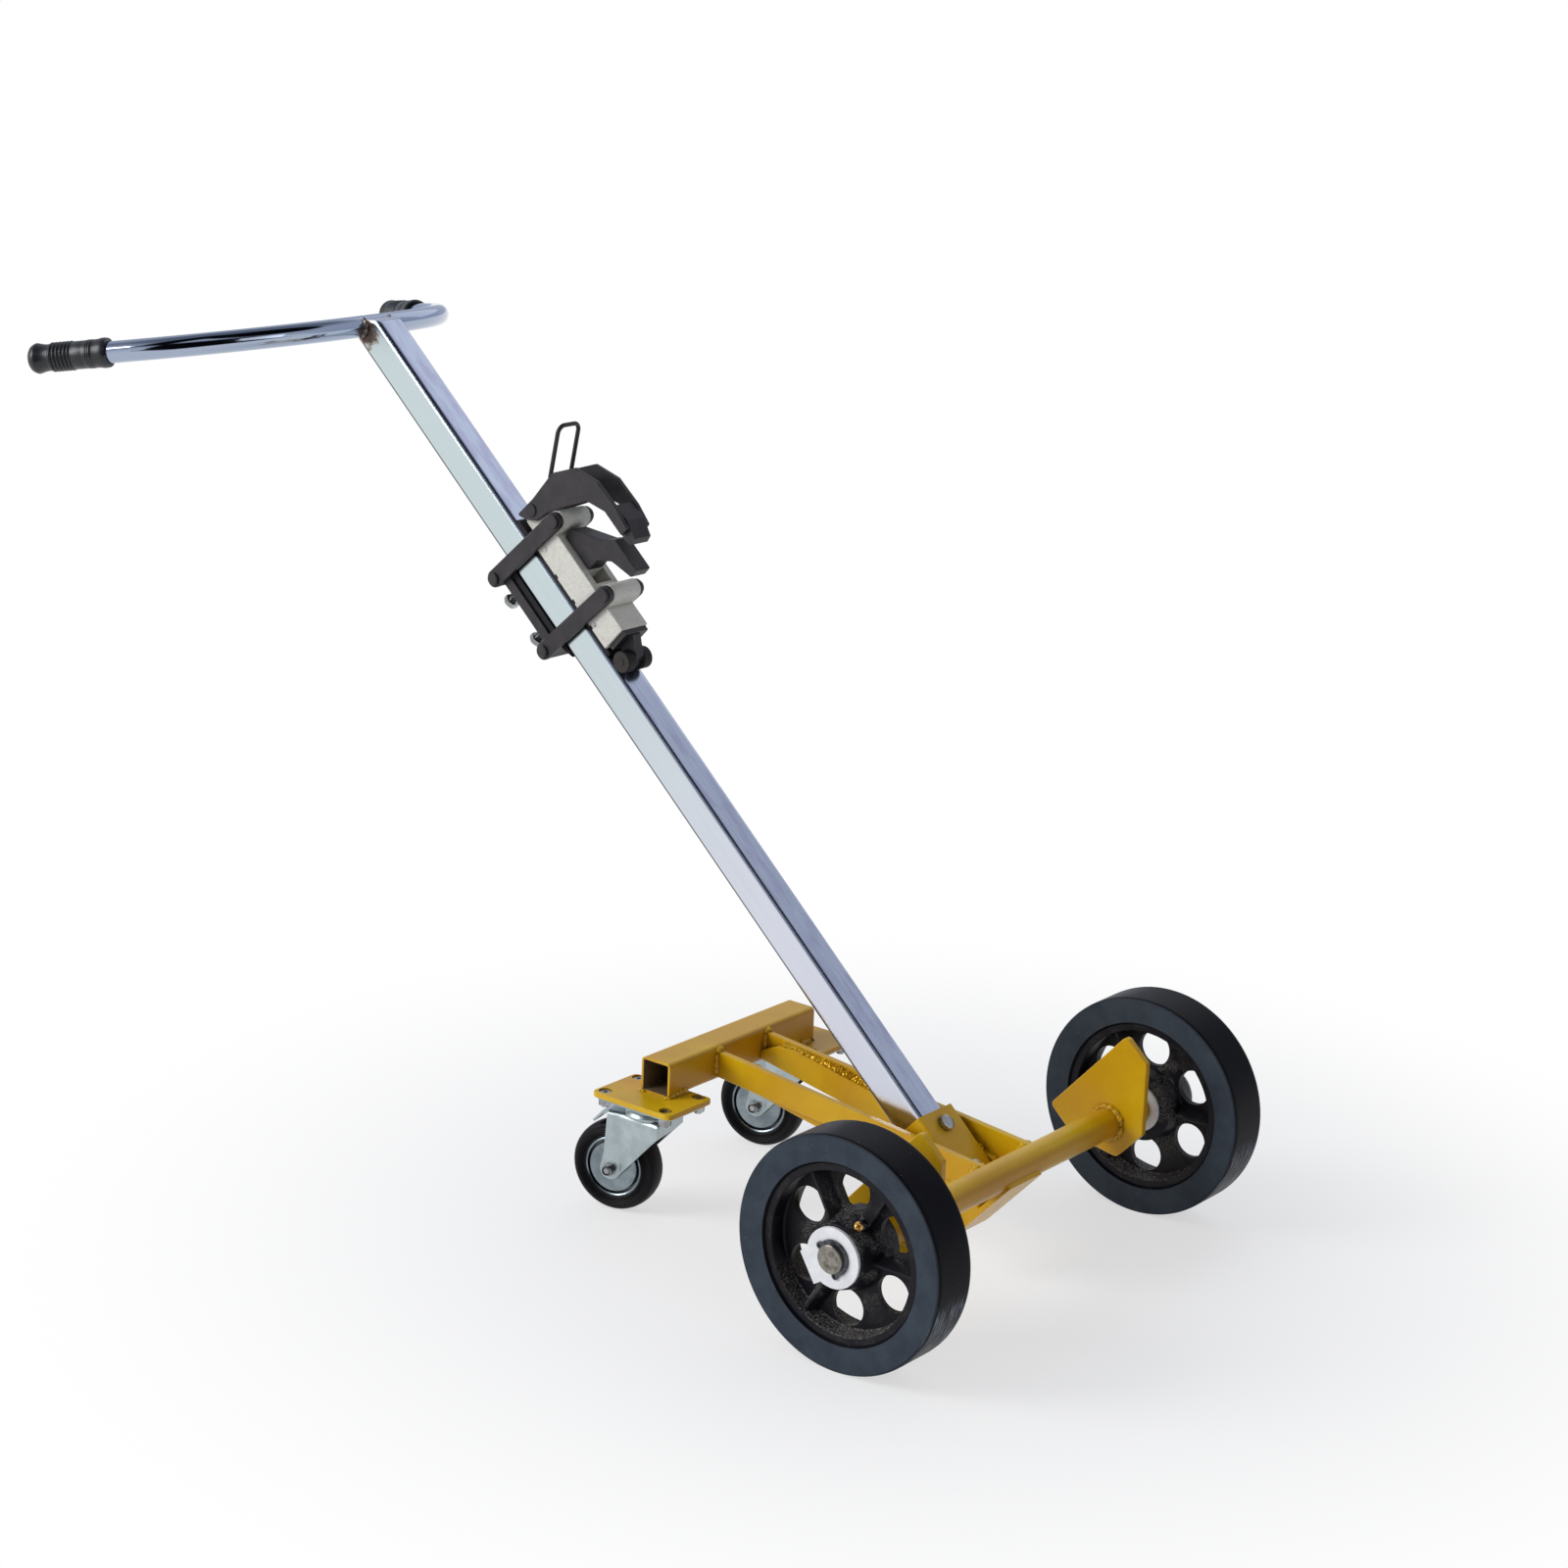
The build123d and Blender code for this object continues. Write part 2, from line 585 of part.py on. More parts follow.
def caster_fork():
    axle = (-CASTER_TRAIL, CASTER_R)
    shell = extrude(fork_plan(0, FORK_FRONT, -70), amount=FORK_TOP)
    top = shell.faces().sort_by(Axis.Z)[-1].edges().sort_by(Axis.X)[1:]
    shell = fillet(top, FORK_BEND)
    hollow = extrude(fork_plan(FORK_WALL, FORK_FRONT - FORK_WALL, -80), amount=FORK_TOP - FORK_WALL)
    top = hollow.faces().sort_by(Axis.Z)[-1].edges().sort_by(Axis.X)[1:]
    shell -= fillet(top, FORK_BEND - FORK_WALL)
    leg = [
        (-CASTER_TRAIL - 12, CASTER_R), (-CASTER_TRAIL - 8, 70), (-CASTER_TRAIL - 4.5, FORK_TOP),
        (FORK_FRONT, FORK_TOP), (FORK_FRONT, 102), (-CASTER_TRAIL + 8.6, 43), axle,
    ]
    side = outline(leg) + Pos(*axle) * Circle(12)
    fork = shell & plate_y(side, -60, 60)
    apron = [(-40, FORK_TOP), (-44, FORK_TOP), (-53, 115.5), (-64, 103), (-62, 101.5), (-52, 112.5)]
    apron.append((-40, FORK_TOP - FORK_WALL))
    fork += plate_y(outline(apron), -FORK_IN + 2, FORK_IN - 2)
    foot = FORK_TOP - 1
    race = PAD_UNDER - RACE_UNDER
    fork += turned([(22.5, foot), (29, foot), (29, foot + 3), (26, race), (24, race), (22.5, race - 4)])
    fork -= Pos(0, 0, FORK_TOP) * Cylinder(KINGPIN_R + RUN_FIT, 40)
    fork -= rod_y(CASTER_AXLE_R, -60, 60, *axle)
    return fork


def on_caster(shape):
    return Pos(-CASTER_TRAIL, 0, CASTER_R) * Rot(90, 0, 0) * shape


def caster_tyre():
    half = [
        (CASTER_RIM_R, 12.6), (36.4, 13.8), (37.4, 13.0), (38.8, 14.6), (39.8, 13.8), (41.2, 15.0),
        (42.2, 14.2), (43.6, 14.9), (44.6, 14.0), (46.4, 13.7), (47.2, 12.7), (49.0, 11.6), (50.4, 9.2),
        (51.2, 5.5), (CASTER_R, 2),
    ]
    return on_caster(turned(both_sides(half)))


def caster_rim():
    half = [
        (CASTER_AXLE_R + RUN_FIT, 16.6), (9.5, 16.6), (11, 13.8), (25, 13.9), (28.2, 13.2), (29, 12.2),
        (29.3, 5.5), (31.6, 5.5), (31.9, 12.4), (33.2, 13.2), (CASTER_RIM_R, 12.6),
    ]
    return on_caster(turned(both_sides(half)))


def caster_axle():
    fork_face = FORK_IN + FORK_WALL
    head = 5.5
    stem = Pos(0, 0, -fork_face) * extrude(Circle(CASTER_AXLE_R), amount=fork_face + CASTER_END - 0.6)
    stem = chamfer(stem.edges().filter_by(GeomType.CIRCLE).sort_by(Axis.Z)[-1], 0.8)
    return on_caster(stem + Pos(0, 0, -fork_face - head) * extrude(hexagon(BOLT_NUT), amount=head))


def caster_nut():
    fork_face = FORK_IN + FORK_WALL
    collar = CASTER_END - fork_face
    nut = extrude(hexagon(CASTER_NUT) - Circle(CASTER_AXLE_R), amount=5)
    ring_out = CASTER_NUT / 2 - 0.3
    nut += turned([
        (CASTER_AXLE_R, 4), (ring_out, 4), (ring_out, collar - 1), (ring_out - 0.6, collar), (5, collar),
        (5, collar - 2.4), (CASTER_AXLE_R, collar - 2.4),
    ])
    return on_caster(Pos(0, 0, fork_face) * nut)


# Rim clamp
def clamp_block():
    block = box(BLOCK_BACK, BLOCK_FRONT, -BLOCK_HALF, BLOCK_HALF, BLOCK_FOOT, BLOCK_TOP)
    block = fillet(block.edges(), 1.6)
    for s in (UPPER_FRONT_S, LOWER_FRONT_S):
        ear = box(BLOCK_FRONT - 12, FRONT_N, -BLOCK_HALF, BLOCK_HALF, s - 11, s + 11)
        block += ear + rod_y(11, -BLOCK_HALF, BLOCK_HALF, FRONT_N, s)
    low = BLOCK_TOP - 6
    neck = [(30, low), (30, 836), (38, 850), (58, 850), (BLOCK_FRONT, 840), (BLOCK_FRONT, low)]
    block += plate_y(outline(neck, 3), -NECK_HALF, NECK_HALF)
    block -= box(BLOCK_FRONT - 20, 100, -13, 13, LOWER_FRONT_S + 22, ANVIL_FOOT)
    for s in (690.0, 726.0, 762.0):
        block -= box(BLOCK_BACK - 1, BLOCK_BACK + 3, -30, 30, s - 3, s + 3)
    for s in (UPPER_FRONT_S, LOWER_FRONT_S):
        block -= rod_y(PIN_R, -40, 40, FRONT_N, s)
    for n, s in PAD_PIN_SPOTS:
        block -= rod_y(PAD_PIN_R, -40, 40, n, s)
    block -= rod_y(PIN_R + RUN_FIT, -40, 40, PIVOT_N, PIVOT_S)
    return MAST_FRAME * block


def pad_pins():
    reach = BLOCK_HALF + 0.3
    return group(*[MAST_FRAME * rod_y(PAD_PIN_R, -reach, reach, n, s) for n, s in PAD_PIN_SPOTS])


def front_pad():
    near = HALF_TUBE + SLIDE_GAP
    points = [(near + 2, 652), (BLOCK_BACK, 654), (BLOCK_BACK, 842), (near + 2, 846)]
    points += [(near, 838), (near, 660)]
    return MAST_FRAME * plate_y(outline(points), -19, 19)


def jaw_anvil():
    points = [
        (BLOCK_FRONT, ANVIL_FOOT), (BLOCK_FRONT, ANVIL_TOP), (76, ANVIL_TOP), (104, 752), (118, 742),
        (118, 698), (106, 698), (96, 728), (80, ANVIL_FOOT),
    ]
    return MAST_FRAME * eased(plate_y(outline(points, 2), -12, 12), PLATE_EDGE)


def link_pins():
    pins = []
    for s in (UPPER_FRONT_S, LOWER_FRONT_S):
        pins.append(MAST_FRAME * headed_pin(PIN_R, 8, LINK_OUT + 0.4, 3, FRONT_N, s))
    return group(*pins)


def link_pair(rear_s, rear_bore):
    strap = Pos(LINK_LONG / 2, 0) * SlotCenterToCenter(LINK_LONG, 2 * LINK_HALF)
    face = Pos(REAR_N, rear_s) * Rot(0, 0, -LINK_TILT) * strap
    face -= Pos(REAR_N, rear_s) * Circle(rear_bore)
    face -= Pos(FRONT_N, rear_s - LINK_DROP) * Circle(PIN_R + RUN_FIT)
    right = MAST_FRAME * eased(plate_y(face, -LINK_OUT, -LINK_IN), PLATE_EDGE)
    return group(right, left_of(right))


def rear_pin(s):
    return MAST_FRAME * headed_pin(PIN_R, 7.5, LINK_OUT, 3, REAR_N, s)


def back_bar():
    bar = box(-42, -29, -BLOCK_HALF, BLOCK_HALF, LOWER_REAR_S, UPPER_REAR_S)
    bar = fillet(bar.edges().filter_by(Axis.Z), 1.5)
    for s, bore in ((UPPER_REAR_S, PIN_R + RUN_FIT), (LOWER_REAR_S, PIN_R + 0.3)):
        bar += rod_y(LINK_HALF - 0.5, -BLOCK_HALF, BLOCK_HALF, REAR_N, s)
        bar += box(-44, -29, -BLOCK_HALF, BLOCK_HALF, s - 9, s + 9)
        bar -= rod_y(bore, -60, 60, REAR_N, s)
    for s in ADJUSTER_S:
        bar -= rod_x(HEX_SHANK_R, -60, 0, 0, s)
    return MAST_FRAME * bar


def back_pad():
    near = -HALF_TUBE - SLIDE_GAP
    points = [(near, 806), (-28, 806), (-28, 706), (-25, 694), (near - 1, 684), (near, 690)]
    return MAST_FRAME * plate_y(outline(points), -19, 19)


def adjusters():
    pieces = []
    for s in ADJUSTER_S:
        bolt = rod_x(HEX_SHANK_R, -62.6, -28, 0, s) + hexagon_x(HEX_BOLT, -62.6 - HEX_HEAD, -62.6, 0, s)
        nut = hexagon_x(HEX_BOLT, -42 - HEX_NUT, -42, 0, s) - rod_x(HEX_SHANK_R, -60, -40, 0, s)
        pieces += [MAST_FRAME * bolt, MAST_FRAME * nut]
    return group(*pieces)


def hook_cheeks():
    face = outline(CHEEK, 2) - Pos(PIVOT_N, PIVOT_S) * Circle(PIN_R)
    right = MAST_FRAME * eased(plate_y(face, -CHEEK_OUT, -CHEEK_IN), PLATE_EDGE)
    return group(right, left_of(right))


def hook_nose():
    points = [(136, 768), (148, 768), (149, 745), (142, 724), (133, 722), (131, 728), (131, 742)]
    return MAST_FRAME * plate_y(outline(points, 1.5), -CHEEK_IN, CHEEK_IN)


def hook_pivot():
    return MAST_FRAME * headed_pin(PIN_R, 7.5, CHEEK_OUT, 1.6, PIVOT_N, PIVOT_S)


def hook_bail():
    y = CHEEK_OUT - 3
    low_n, low_s = BAIL_FOOT
    top_n, top_s = BAIL_TOP
    corners = [(low_n, -y, low_s), (top_n, -y, top_s), (top_n, y, top_s), (low_n, y, low_s)]
    wire = FilletPolyline(*corners, radius=9)
    start = Plane(corners[0], z_dir=Vector(*corners[1]) - Vector(*corners[0]))
    bail = sweep(start * Circle(BAIL_R), path=wire)
    bail -= plate_y(outline(CHEEK, 2), -CHEEK_OUT - 1, CHEEK_OUT + 1)
    return MAST_FRAME * bail.solids().sort_by(SortBy.VOLUME)[-1]


def roller_bracket():
    flange = box(32, 60, -19, 19, BLOCK_FOOT - 6, BLOCK_FOOT)
    top = BLOCK_FOOT - 5
    tongue = outline([(34, top), (60, top), (44, 632), (30, 628), (26, 632), (26, 642)], 2)
    bracket = flange + plate_y(tongue, -6, 6)
    return MAST_FRAME * (bracket - rod_y(ROLLER_PIN_R + RUN_FIT, -20, 20, ROLLER_N, ROLLER_S))


def roller_pin():
    return MAST_FRAME * rod_y(ROLLER_PIN_R, -20.8, 20.8, ROLLER_N, ROLLER_S)


def guide_rollers():
    roller = rod_y(ROLLER_R, -20, -6.5, ROLLER_N, ROLLER_S)
    roller = chamfer(roller.edges().filter_by(GeomType.CIRCLE), 1)
    right = MAST_FRAME * (roller - rod_y(ROLLER_PIN_R, -30, 0, ROLLER_N, ROLLER_S))
    return group(right, left_of(right))


# Nodes
singles = {
    "cross_tube": cross_tube,
    "axle_tube": axle_tube,
    "axle": axle,
    "hub_washers": hub_washers,
    "axle_circlips": axle_circlips,
    "mast_socket": mast_socket,
    "socket_bolts": socket_bolts,
    "mast": mast,
    "handle_tube": handle_tube,
    "caster_bolts": caster_bolts,
    "kingpins": kingpins,
    "clamp_block": clamp_block,
    "pad_pins": pad_pins,
    "front_pad": front_pad,
    "jaw_anvil": jaw_anvil,
    "link_pins": link_pins,
    "back_bar": back_bar,
    "back_pad": back_pad,
    "adjusters": adjusters,
    "hook_cheeks": hook_cheeks,
    "hook_nose": hook_nose,
    "hook_pivot": hook_pivot,
    "hook_bail": hook_bail,
    "roller_bracket": roller_bracket,
    "roller_pin": roller_pin,
    "guide_rollers": guide_rollers,
}
pairs = {
    "caster_plate": caster_plate,
    "side_bar": side_bar,
    "brace_bar": brace_bar,
    "cradle_lug": cradle_lug,
    "grip": grip,
    "wheel_tyre": wheel_tyre,
    "wheel_core": wheel_core,
    "wheel_bush": wheel_bush,
    "grease_nipple": grease_nipple,
    "top_plate": top_plate,
}
swivelling = {
    "caster_fork": caster_fork,
    "caster_axle": caster_axle,
    "caster_nut": caster_nut,
    "caster_rim": caster_rim,
    "caster_tyre": caster_tyre,
}
nodes = {name: make() for name, make in singles.items()}
nodes["upper_links"] = link_pair(UPPER_REAR_S, PIN_R)
nodes["lower_links"] = link_pair(LOWER_REAR_S, PIN_R)
nodes["upper_rear_pin"] = rear_pin(UPPER_REAR_S)
nodes["lower_rear_pin"] = rear_pin(LOWER_REAR_S)
for name, make in pairs.items():
    right = make()
    nodes[name + "_r"] = right
    nodes[name + "_l"] = left_of(right)
swivel_r = AXLE_FRAME * Pos(CASTER_X, -CASTER_Y, 0) * Rot(0, 0, CASTER_TURN_R)
swivel_l = AXLE_FRAME * Pos(CASTER_X, CASTER_Y, 0) * Rot(0, 0, CASTER_TURN_L)
for name, make in swivelling.items():
    caster_piece = make()
    nodes[name + "_r"] = swivel_r * caster_piece
    nodes[name + "_l"] = swivel_l * caster_piece

os.makedirs("parts", exist_ok=True)
for name, shape in nodes.items():
    export_step(shape, f"parts/{name}.step")

spans = [shape.bounding_box() for shape in nodes.values()]
print("x", min(b.min.X for b in spans), max(b.max.X for b in spans))
print("y", min(b.min.Y for b in spans), max(b.max.Y for b in spans))
print("z", min(b.min.Z for b in spans), max(b.max.Z for b in spans))
print(len(nodes), "nodes")
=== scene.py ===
# %% [markdown]
# # A four-wheel trolley with a rim clamp
# The construction is already there as solids: tubes, bars, wheels, casters and a clamp that slides on the
# mast. This lesson loads them as a fixed frame and adds what the eye looks for: paint, plating, cast iron,
# rubber, weld metal, threads and moulded grips.

# %% Load the frame
import json
import math
import random

import bmesh
import bpy
from mathutils import Matrix, Vector, noise


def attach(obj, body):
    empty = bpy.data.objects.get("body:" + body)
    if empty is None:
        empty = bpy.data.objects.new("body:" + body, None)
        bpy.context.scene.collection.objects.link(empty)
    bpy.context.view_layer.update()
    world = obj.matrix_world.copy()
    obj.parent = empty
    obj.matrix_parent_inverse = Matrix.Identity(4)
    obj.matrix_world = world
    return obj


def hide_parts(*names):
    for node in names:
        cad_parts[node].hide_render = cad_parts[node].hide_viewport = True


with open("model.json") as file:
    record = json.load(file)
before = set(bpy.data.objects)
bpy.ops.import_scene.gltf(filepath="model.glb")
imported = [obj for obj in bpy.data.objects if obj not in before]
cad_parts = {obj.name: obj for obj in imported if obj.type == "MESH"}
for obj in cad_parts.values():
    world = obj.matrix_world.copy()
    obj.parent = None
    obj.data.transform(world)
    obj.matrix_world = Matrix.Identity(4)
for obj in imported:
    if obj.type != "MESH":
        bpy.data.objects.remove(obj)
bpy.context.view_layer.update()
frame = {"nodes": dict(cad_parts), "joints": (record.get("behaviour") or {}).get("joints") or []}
nodes = frame["nodes"]
MM = 0.001

# %% [markdown]
# ## Where things are
# The axle, the caster stems and the clamp pivots are joints, and a joint knows its own point and axis. The
# mast leans along the clamp's slide, so that axis gives the mast's own directions: s up along the tube and
# n square to it, towards the load. Reading them from the frame keeps looks and construction together.

# %% Joint points and mast directions
joints = {joint["name"]: joint for joint in frame["joints"]}


def joint_point(name):
    return Vector(joints[name]["pos_m"])


UP_MAST = Vector(joints["clamp_slide"]["axis"]).normalized()
SIDE = Vector((0, 1, 0))
OFF_MAST = SIDE.cross(UP_MAST)
AXLE = joint_point("wheel_spin_r") * Vector((1, 0, 1))
MAST_BEHIND_AXLE = 96.9 * MM
MAST_ORIGIN = AXLE - Vector((MAST_BEHIND_AXLE, 0, 0))


def on_mast(n, y, s):
    """A point given square to the mast, across it and up along it, in millimetres."""
    return MAST_ORIGIN + (OFF_MAST * n + SIDE * y + UP_MAST * s) * MM


def on_base(x, y, z):
    """A point given along the floor from under the axle, across it and up, in millimetres."""
    return Vector((AXLE.x + x * MM, y * MM, z * MM))


print("mast leans", round(math.degrees(math.acos(UP_MAST.z)), 2), "degrees")

# %% [markdown]
# ## The camera
# The photograph is taken from the front right, a little above the handle, through a short telephoto lens,
# and the camera is tipped by two degrees. An angle round the object, an elevation, a roll and a distance
# say that more plainly than a matrix would, so the matrix is worked out from them.

# %% Camera
VIEW_AZIMUTH = math.radians(37.58)
VIEW_ELEVATION = math.radians(16.08)
VIEW_ROLL = math.radians(2.37)
VIEW_DISTANCE = 3.685
VIEW_TARGET = AXLE + Vector((-0.3246, 0.0013, 0.3559))
LENS_MM = 78.14
SENSOR_MM = 36.0

level = Vector((math.cos(VIEW_AZIMUTH), math.sin(VIEW_AZIMUTH), 0))
backward = Vector((
    math.sin(VIEW_AZIMUTH) * math.cos(VIEW_ELEVATION),
    -math.cos(VIEW_AZIMUTH) * math.cos(VIEW_ELEVATION),
    math.sin(VIEW_ELEVATION),
))
level = Matrix.Rotation(VIEW_ROLL, 3, backward) @ level
upward = backward.cross(level)
camera = bpy.data.objects.new("camera", bpy.data.cameras.new("camera"))
camera.data.lens = LENS_MM
camera.data.sensor_width = SENSOR_MM
place = Matrix((level, upward, backward)).transposed().to_4x4()
place.translation = VIEW_TARGET + backward * VIEW_DISTANCE
camera.matrix_world = place
bpy.context.collection.objects.link(camera)
bpy.context.scene.camera = camera
bpy.context.scene.view_settings.view_transform = "Standard"
print("camera at", [round(v, 3) for v in camera.location])

# %% [markdown]
# ## Shader maths in Python
# A finish is a small sum: a mask times another, a noise minus a threshold. Wiring Math nodes one by one
# hides that sum, so one class wraps a socket and lends it the usual operators, and one method adds any
# other node: its type, its settings, which are set first, and then the values or links of its sockets.

# %% A socket with operators


class Socket:
    """One output of a shader's node tree."""

    def __init__(self, shader, output):
        self.shader = shader
        self.output = output

    def also(self, name):
        return Socket(self.shader, self.output.node.outputs[name])

    def __add__(self, other):
        return self.shader.math("ADD", self, other)

    __radd__ = __add__

    def __sub__(self, other):
        return self.shader.math("SUBTRACT", self, other)

    def __rsub__(self, other):
        return self.shader.math("SUBTRACT", other, self)

    def __mul__(self, other):
        return self.shader.math("MULTIPLY", self, other)

    __rmul__ = __mul__

    def __pow__(self, other):
        return self.shader.math("POWER", self, other)

    def __abs__(self):
        return self.shader.math("ABSOLUTE", self)


# %% A shader that hands out sockets
COLOUR_MIX = {"factor": 0, "a": 6, "b": 7, "result": 2}


class Shader:
    """A node tree of a material or of the world."""

    def __init__(self, owner):
        owner.use_nodes = True
        self.owner = owner
        self.tree = owner.node_tree

    def put(self, node, key, value):
        if isinstance(value, Socket):
            self.tree.links.new(value.output, node.inputs[key])
        else:
            node.inputs[key].default_value = value

    def node(self, kind, settings=None, inputs=None, output=0):
        made = self.tree.nodes.new(kind)
        for key, value in (settings or {}).items():
            setattr(made, key, value)
        for key, value in (inputs or {}).items():
            self.put(made, key, value)
        return Socket(self, made.outputs[output])

    def math(self, operation, *values):
        return self.node("ShaderNodeMath", {"operation": operation}, dict(enumerate(values)))

    def vector(self, operation, a, b, output=0):
        return self.node("ShaderNodeVectorMath", {"operation": operation}, {0: a, 1: b}, output)

    def mix(self, factor, a, b, how="MIX"):
        settings = {"data_type": "RGBA", "blend_type": how}
        keys = COLOUR_MIX
        inputs = {keys["factor"]: factor, keys["a"]: a, keys["b"]: b}
        return self.node("ShaderNodeMix", settings, inputs, keys["result"])

    def ramp(self, value, low, high, start=0.0, end=1.0):
        """value from low to high becomes start to end, eased and held at both ends."""
        inputs = {0: value, 1: low, 2: high, 3: start, 4: end}
        return self.node("ShaderNodeMapRange", {"interpolation_type": "SMOOTHSTEP"}, inputs)

    def noise(self, scale, detail=3.0, rough=0.55, vector=None, twist=0.0):
        inputs = {"Scale": scale, "Detail": detail, "Roughness": rough, "Distortion": twist}
        inputs["Vector"] = vector if vector is not None else self.place()
        return self.node("ShaderNodeTexNoise", None, inputs)

    def place(self):
        """Where a point is on the object at rest, in metres."""
        return self.node("ShaderNodeTexCoord", None, None, "Object")

    def facing(self, direction):
        """1 where the surface looks along the direction, -1 where it looks away."""
        normal = self.node("ShaderNodeTexCoord", None, None, "Normal")
        return self.vector("DOT_PRODUCT", normal, direction, "Value")

    def along(self, direction, origin=(0, 0, 0)):
        """How far a point lies along a direction from the origin, in metres."""
        offset = self.vector("SUBTRACT", self.place(), tuple(origin))
        return self.vector("DOT_PRODUCT", offset, tuple(direction), "Value")

    def bump(self, height, depth, strength=1.0, under=None):
        inputs = {"Height": height, "Distance": depth, "Strength": strength}
        if under is not None:
            inputs["Normal"] = under
        return self.node("ShaderNodeBump", None, inputs)


# %% Colours and the finish every piece starts from
def srgb(red, green, blue):
    """A colour as a paint chart gives it, 0 to 255, made linear."""
    def linear(value):
        value = value / 255
        return value / 12.92 if value <= 0.04045 else ((value + 0.055) / 1.055) ** 2.4
    return (linear(red), linear(green), linear(blue), 1.0)


class Finish(Shader):
    """A named material with one surface shader."""

    def __init__(self, name, **constants):
        super().__init__(bpy.data.materials.new(name))
        self.material = self.owner
        self.surface = self.tree.nodes["Principled BSDF"]
        self.set(**constants)

    def set(self, **values):
        for key, value in values.items():
            self.put(self.surface, key.replace("_", " ").title().replace("Ior", "IOR"), value)


print("shader helpers ready")

# %% [markdown]
# ## A pale studio
# The trolley stands on a white floor. Polished steel shows what is round it, so the room is made for its
# reflections: white paper below that ends on the camera's side, a cool wall, a grey ceiling, a dark patch
# overhead for the black line beside the mast's bright corner, and dark gaps for the bands along the handle.
# A world made of a few masks gives all that without hanging a card into the scene. The floor itself is matt,
# so it keeps the shadow, and it fades to plain white away from the object.

# %% Floor
FLOOR_HALF = 40.0
SHADOW_MIDDLE = (0.38, 0.05, 0.0)
SHADOW_NEAR = 0.25
SHADOW_FAR = 1.05
SHADOW_SHARE = 0.42
PAPER_END = (1.9, 2.6)
PAPER_SIDE = (0.0, 0.8)
WHITE = (1, 1, 1, 1)
UNLIT = srgb(12, 14, 18)


def seen_directly(shader):
    """1 for rays from the camera, a mirror or a glass, 0 for the light that a surface scatters."""
    camera_ray = shader.node("ShaderNodeLightPath", None, None, "Is Camera Ray")
    seen = shader.math("MAXIMUM", camera_ray, camera_ray.also("Is Glossy Ray"))
    return shader.math("MAXIMUM", seen, camera_ray.also("Is Transmission Ray"))


def white_floor():
    shader = Finish("white_floor", base_color=srgb(250, 250, 250), roughness=0.9)
    offset = shader.vector("SUBTRACT", shader.place(), SHADOW_MIDDLE)
    distance = shader.node("ShaderNodeVectorMath", {"operation": "LENGTH"}, {0: offset}, "Value")
    shade = shader.ramp(distance, SHADOW_NEAR, SHADOW_FAR, SHADOW_SHARE, 0.0)
    ends = shader.ramp(shader.along((0, -1, 0)), *PAPER_END)
    ends = ends * shader.ramp(shader.along((1, 0, 0)), *PAPER_SIDE)
    mirrored = shader.node("ShaderNodeLightPath", None, None, "Is Glossy Ray")
    paper = shader.mix(ends * mirrored, WHITE, UNLIT)
    glow = shader.node("ShaderNodeEmission", None, {"Color": paper, "Strength": 1.0})
    matt = Socket(shader, shader.surface.outputs[0])
    white = seen_directly(shader) * (1 - shade)
    blend = shader.node("ShaderNodeMixShader", None, {0: white, 1: matt, 2: glow})
    shader.put(shader.tree.nodes["Material Output"], "Surface", blend)
    return shader.material


corners = [(-FLOOR_HALF, -FLOOR_HALF, 0), (FLOOR_HALF, -FLOOR_HALF, 0)]
corners += [(FLOOR_HALF, FLOOR_HALF, 0), (-FLOOR_HALF, FLOOR_HALF, 0)]
floor_mesh = bpy.data.meshes.new("floor")
floor_mesh.from_pydata(corners, [], [(0, 1, 2, 3)])
floor_mesh.materials.append(white_floor())
floor = bpy.data.objects.new("floor", floor_mesh)
bpy.context.collection.objects.link(floor)

# %% World
CEILING = srgb(126, 132, 144)
WALL = srgb(200, 204, 214)
HORIZON_NEAR = srgb(240, 243, 246)
HORIZON_FAR = srgb(190, 198, 216)
HORIZON_TURN = (-0.1, 0.35)
WALL_FOOT = (0.10, 0.42)
CEILING_FOOT = (0.72, 0.9)
PATCH_WAY = Vector((0.47, -0.1, 0.88)).normalized()
PATCH_EDGE = (0.885, 0.925)
BEHIND_CAMERA = {"X": (0.08, 0.18), "Y": (-0.45, -0.15), "Z": (0.52, 0.68)}
GAP_X = ((-0.20, -0.05), (0.16, 0.26))
GAP_Y = ((-0.90, -0.82), (-0.2, 0.0))
GAP_Z = (0.4, 0.5)


def above(shader, value, edge):
    """0 before the edge and 1 after it; the edge is given as where it starts and where it ends."""
    return shader.ramp(value, *edge)


def below(shader, value, edge):
    return shader.ramp(value, *edge, 1.0, 0.0)


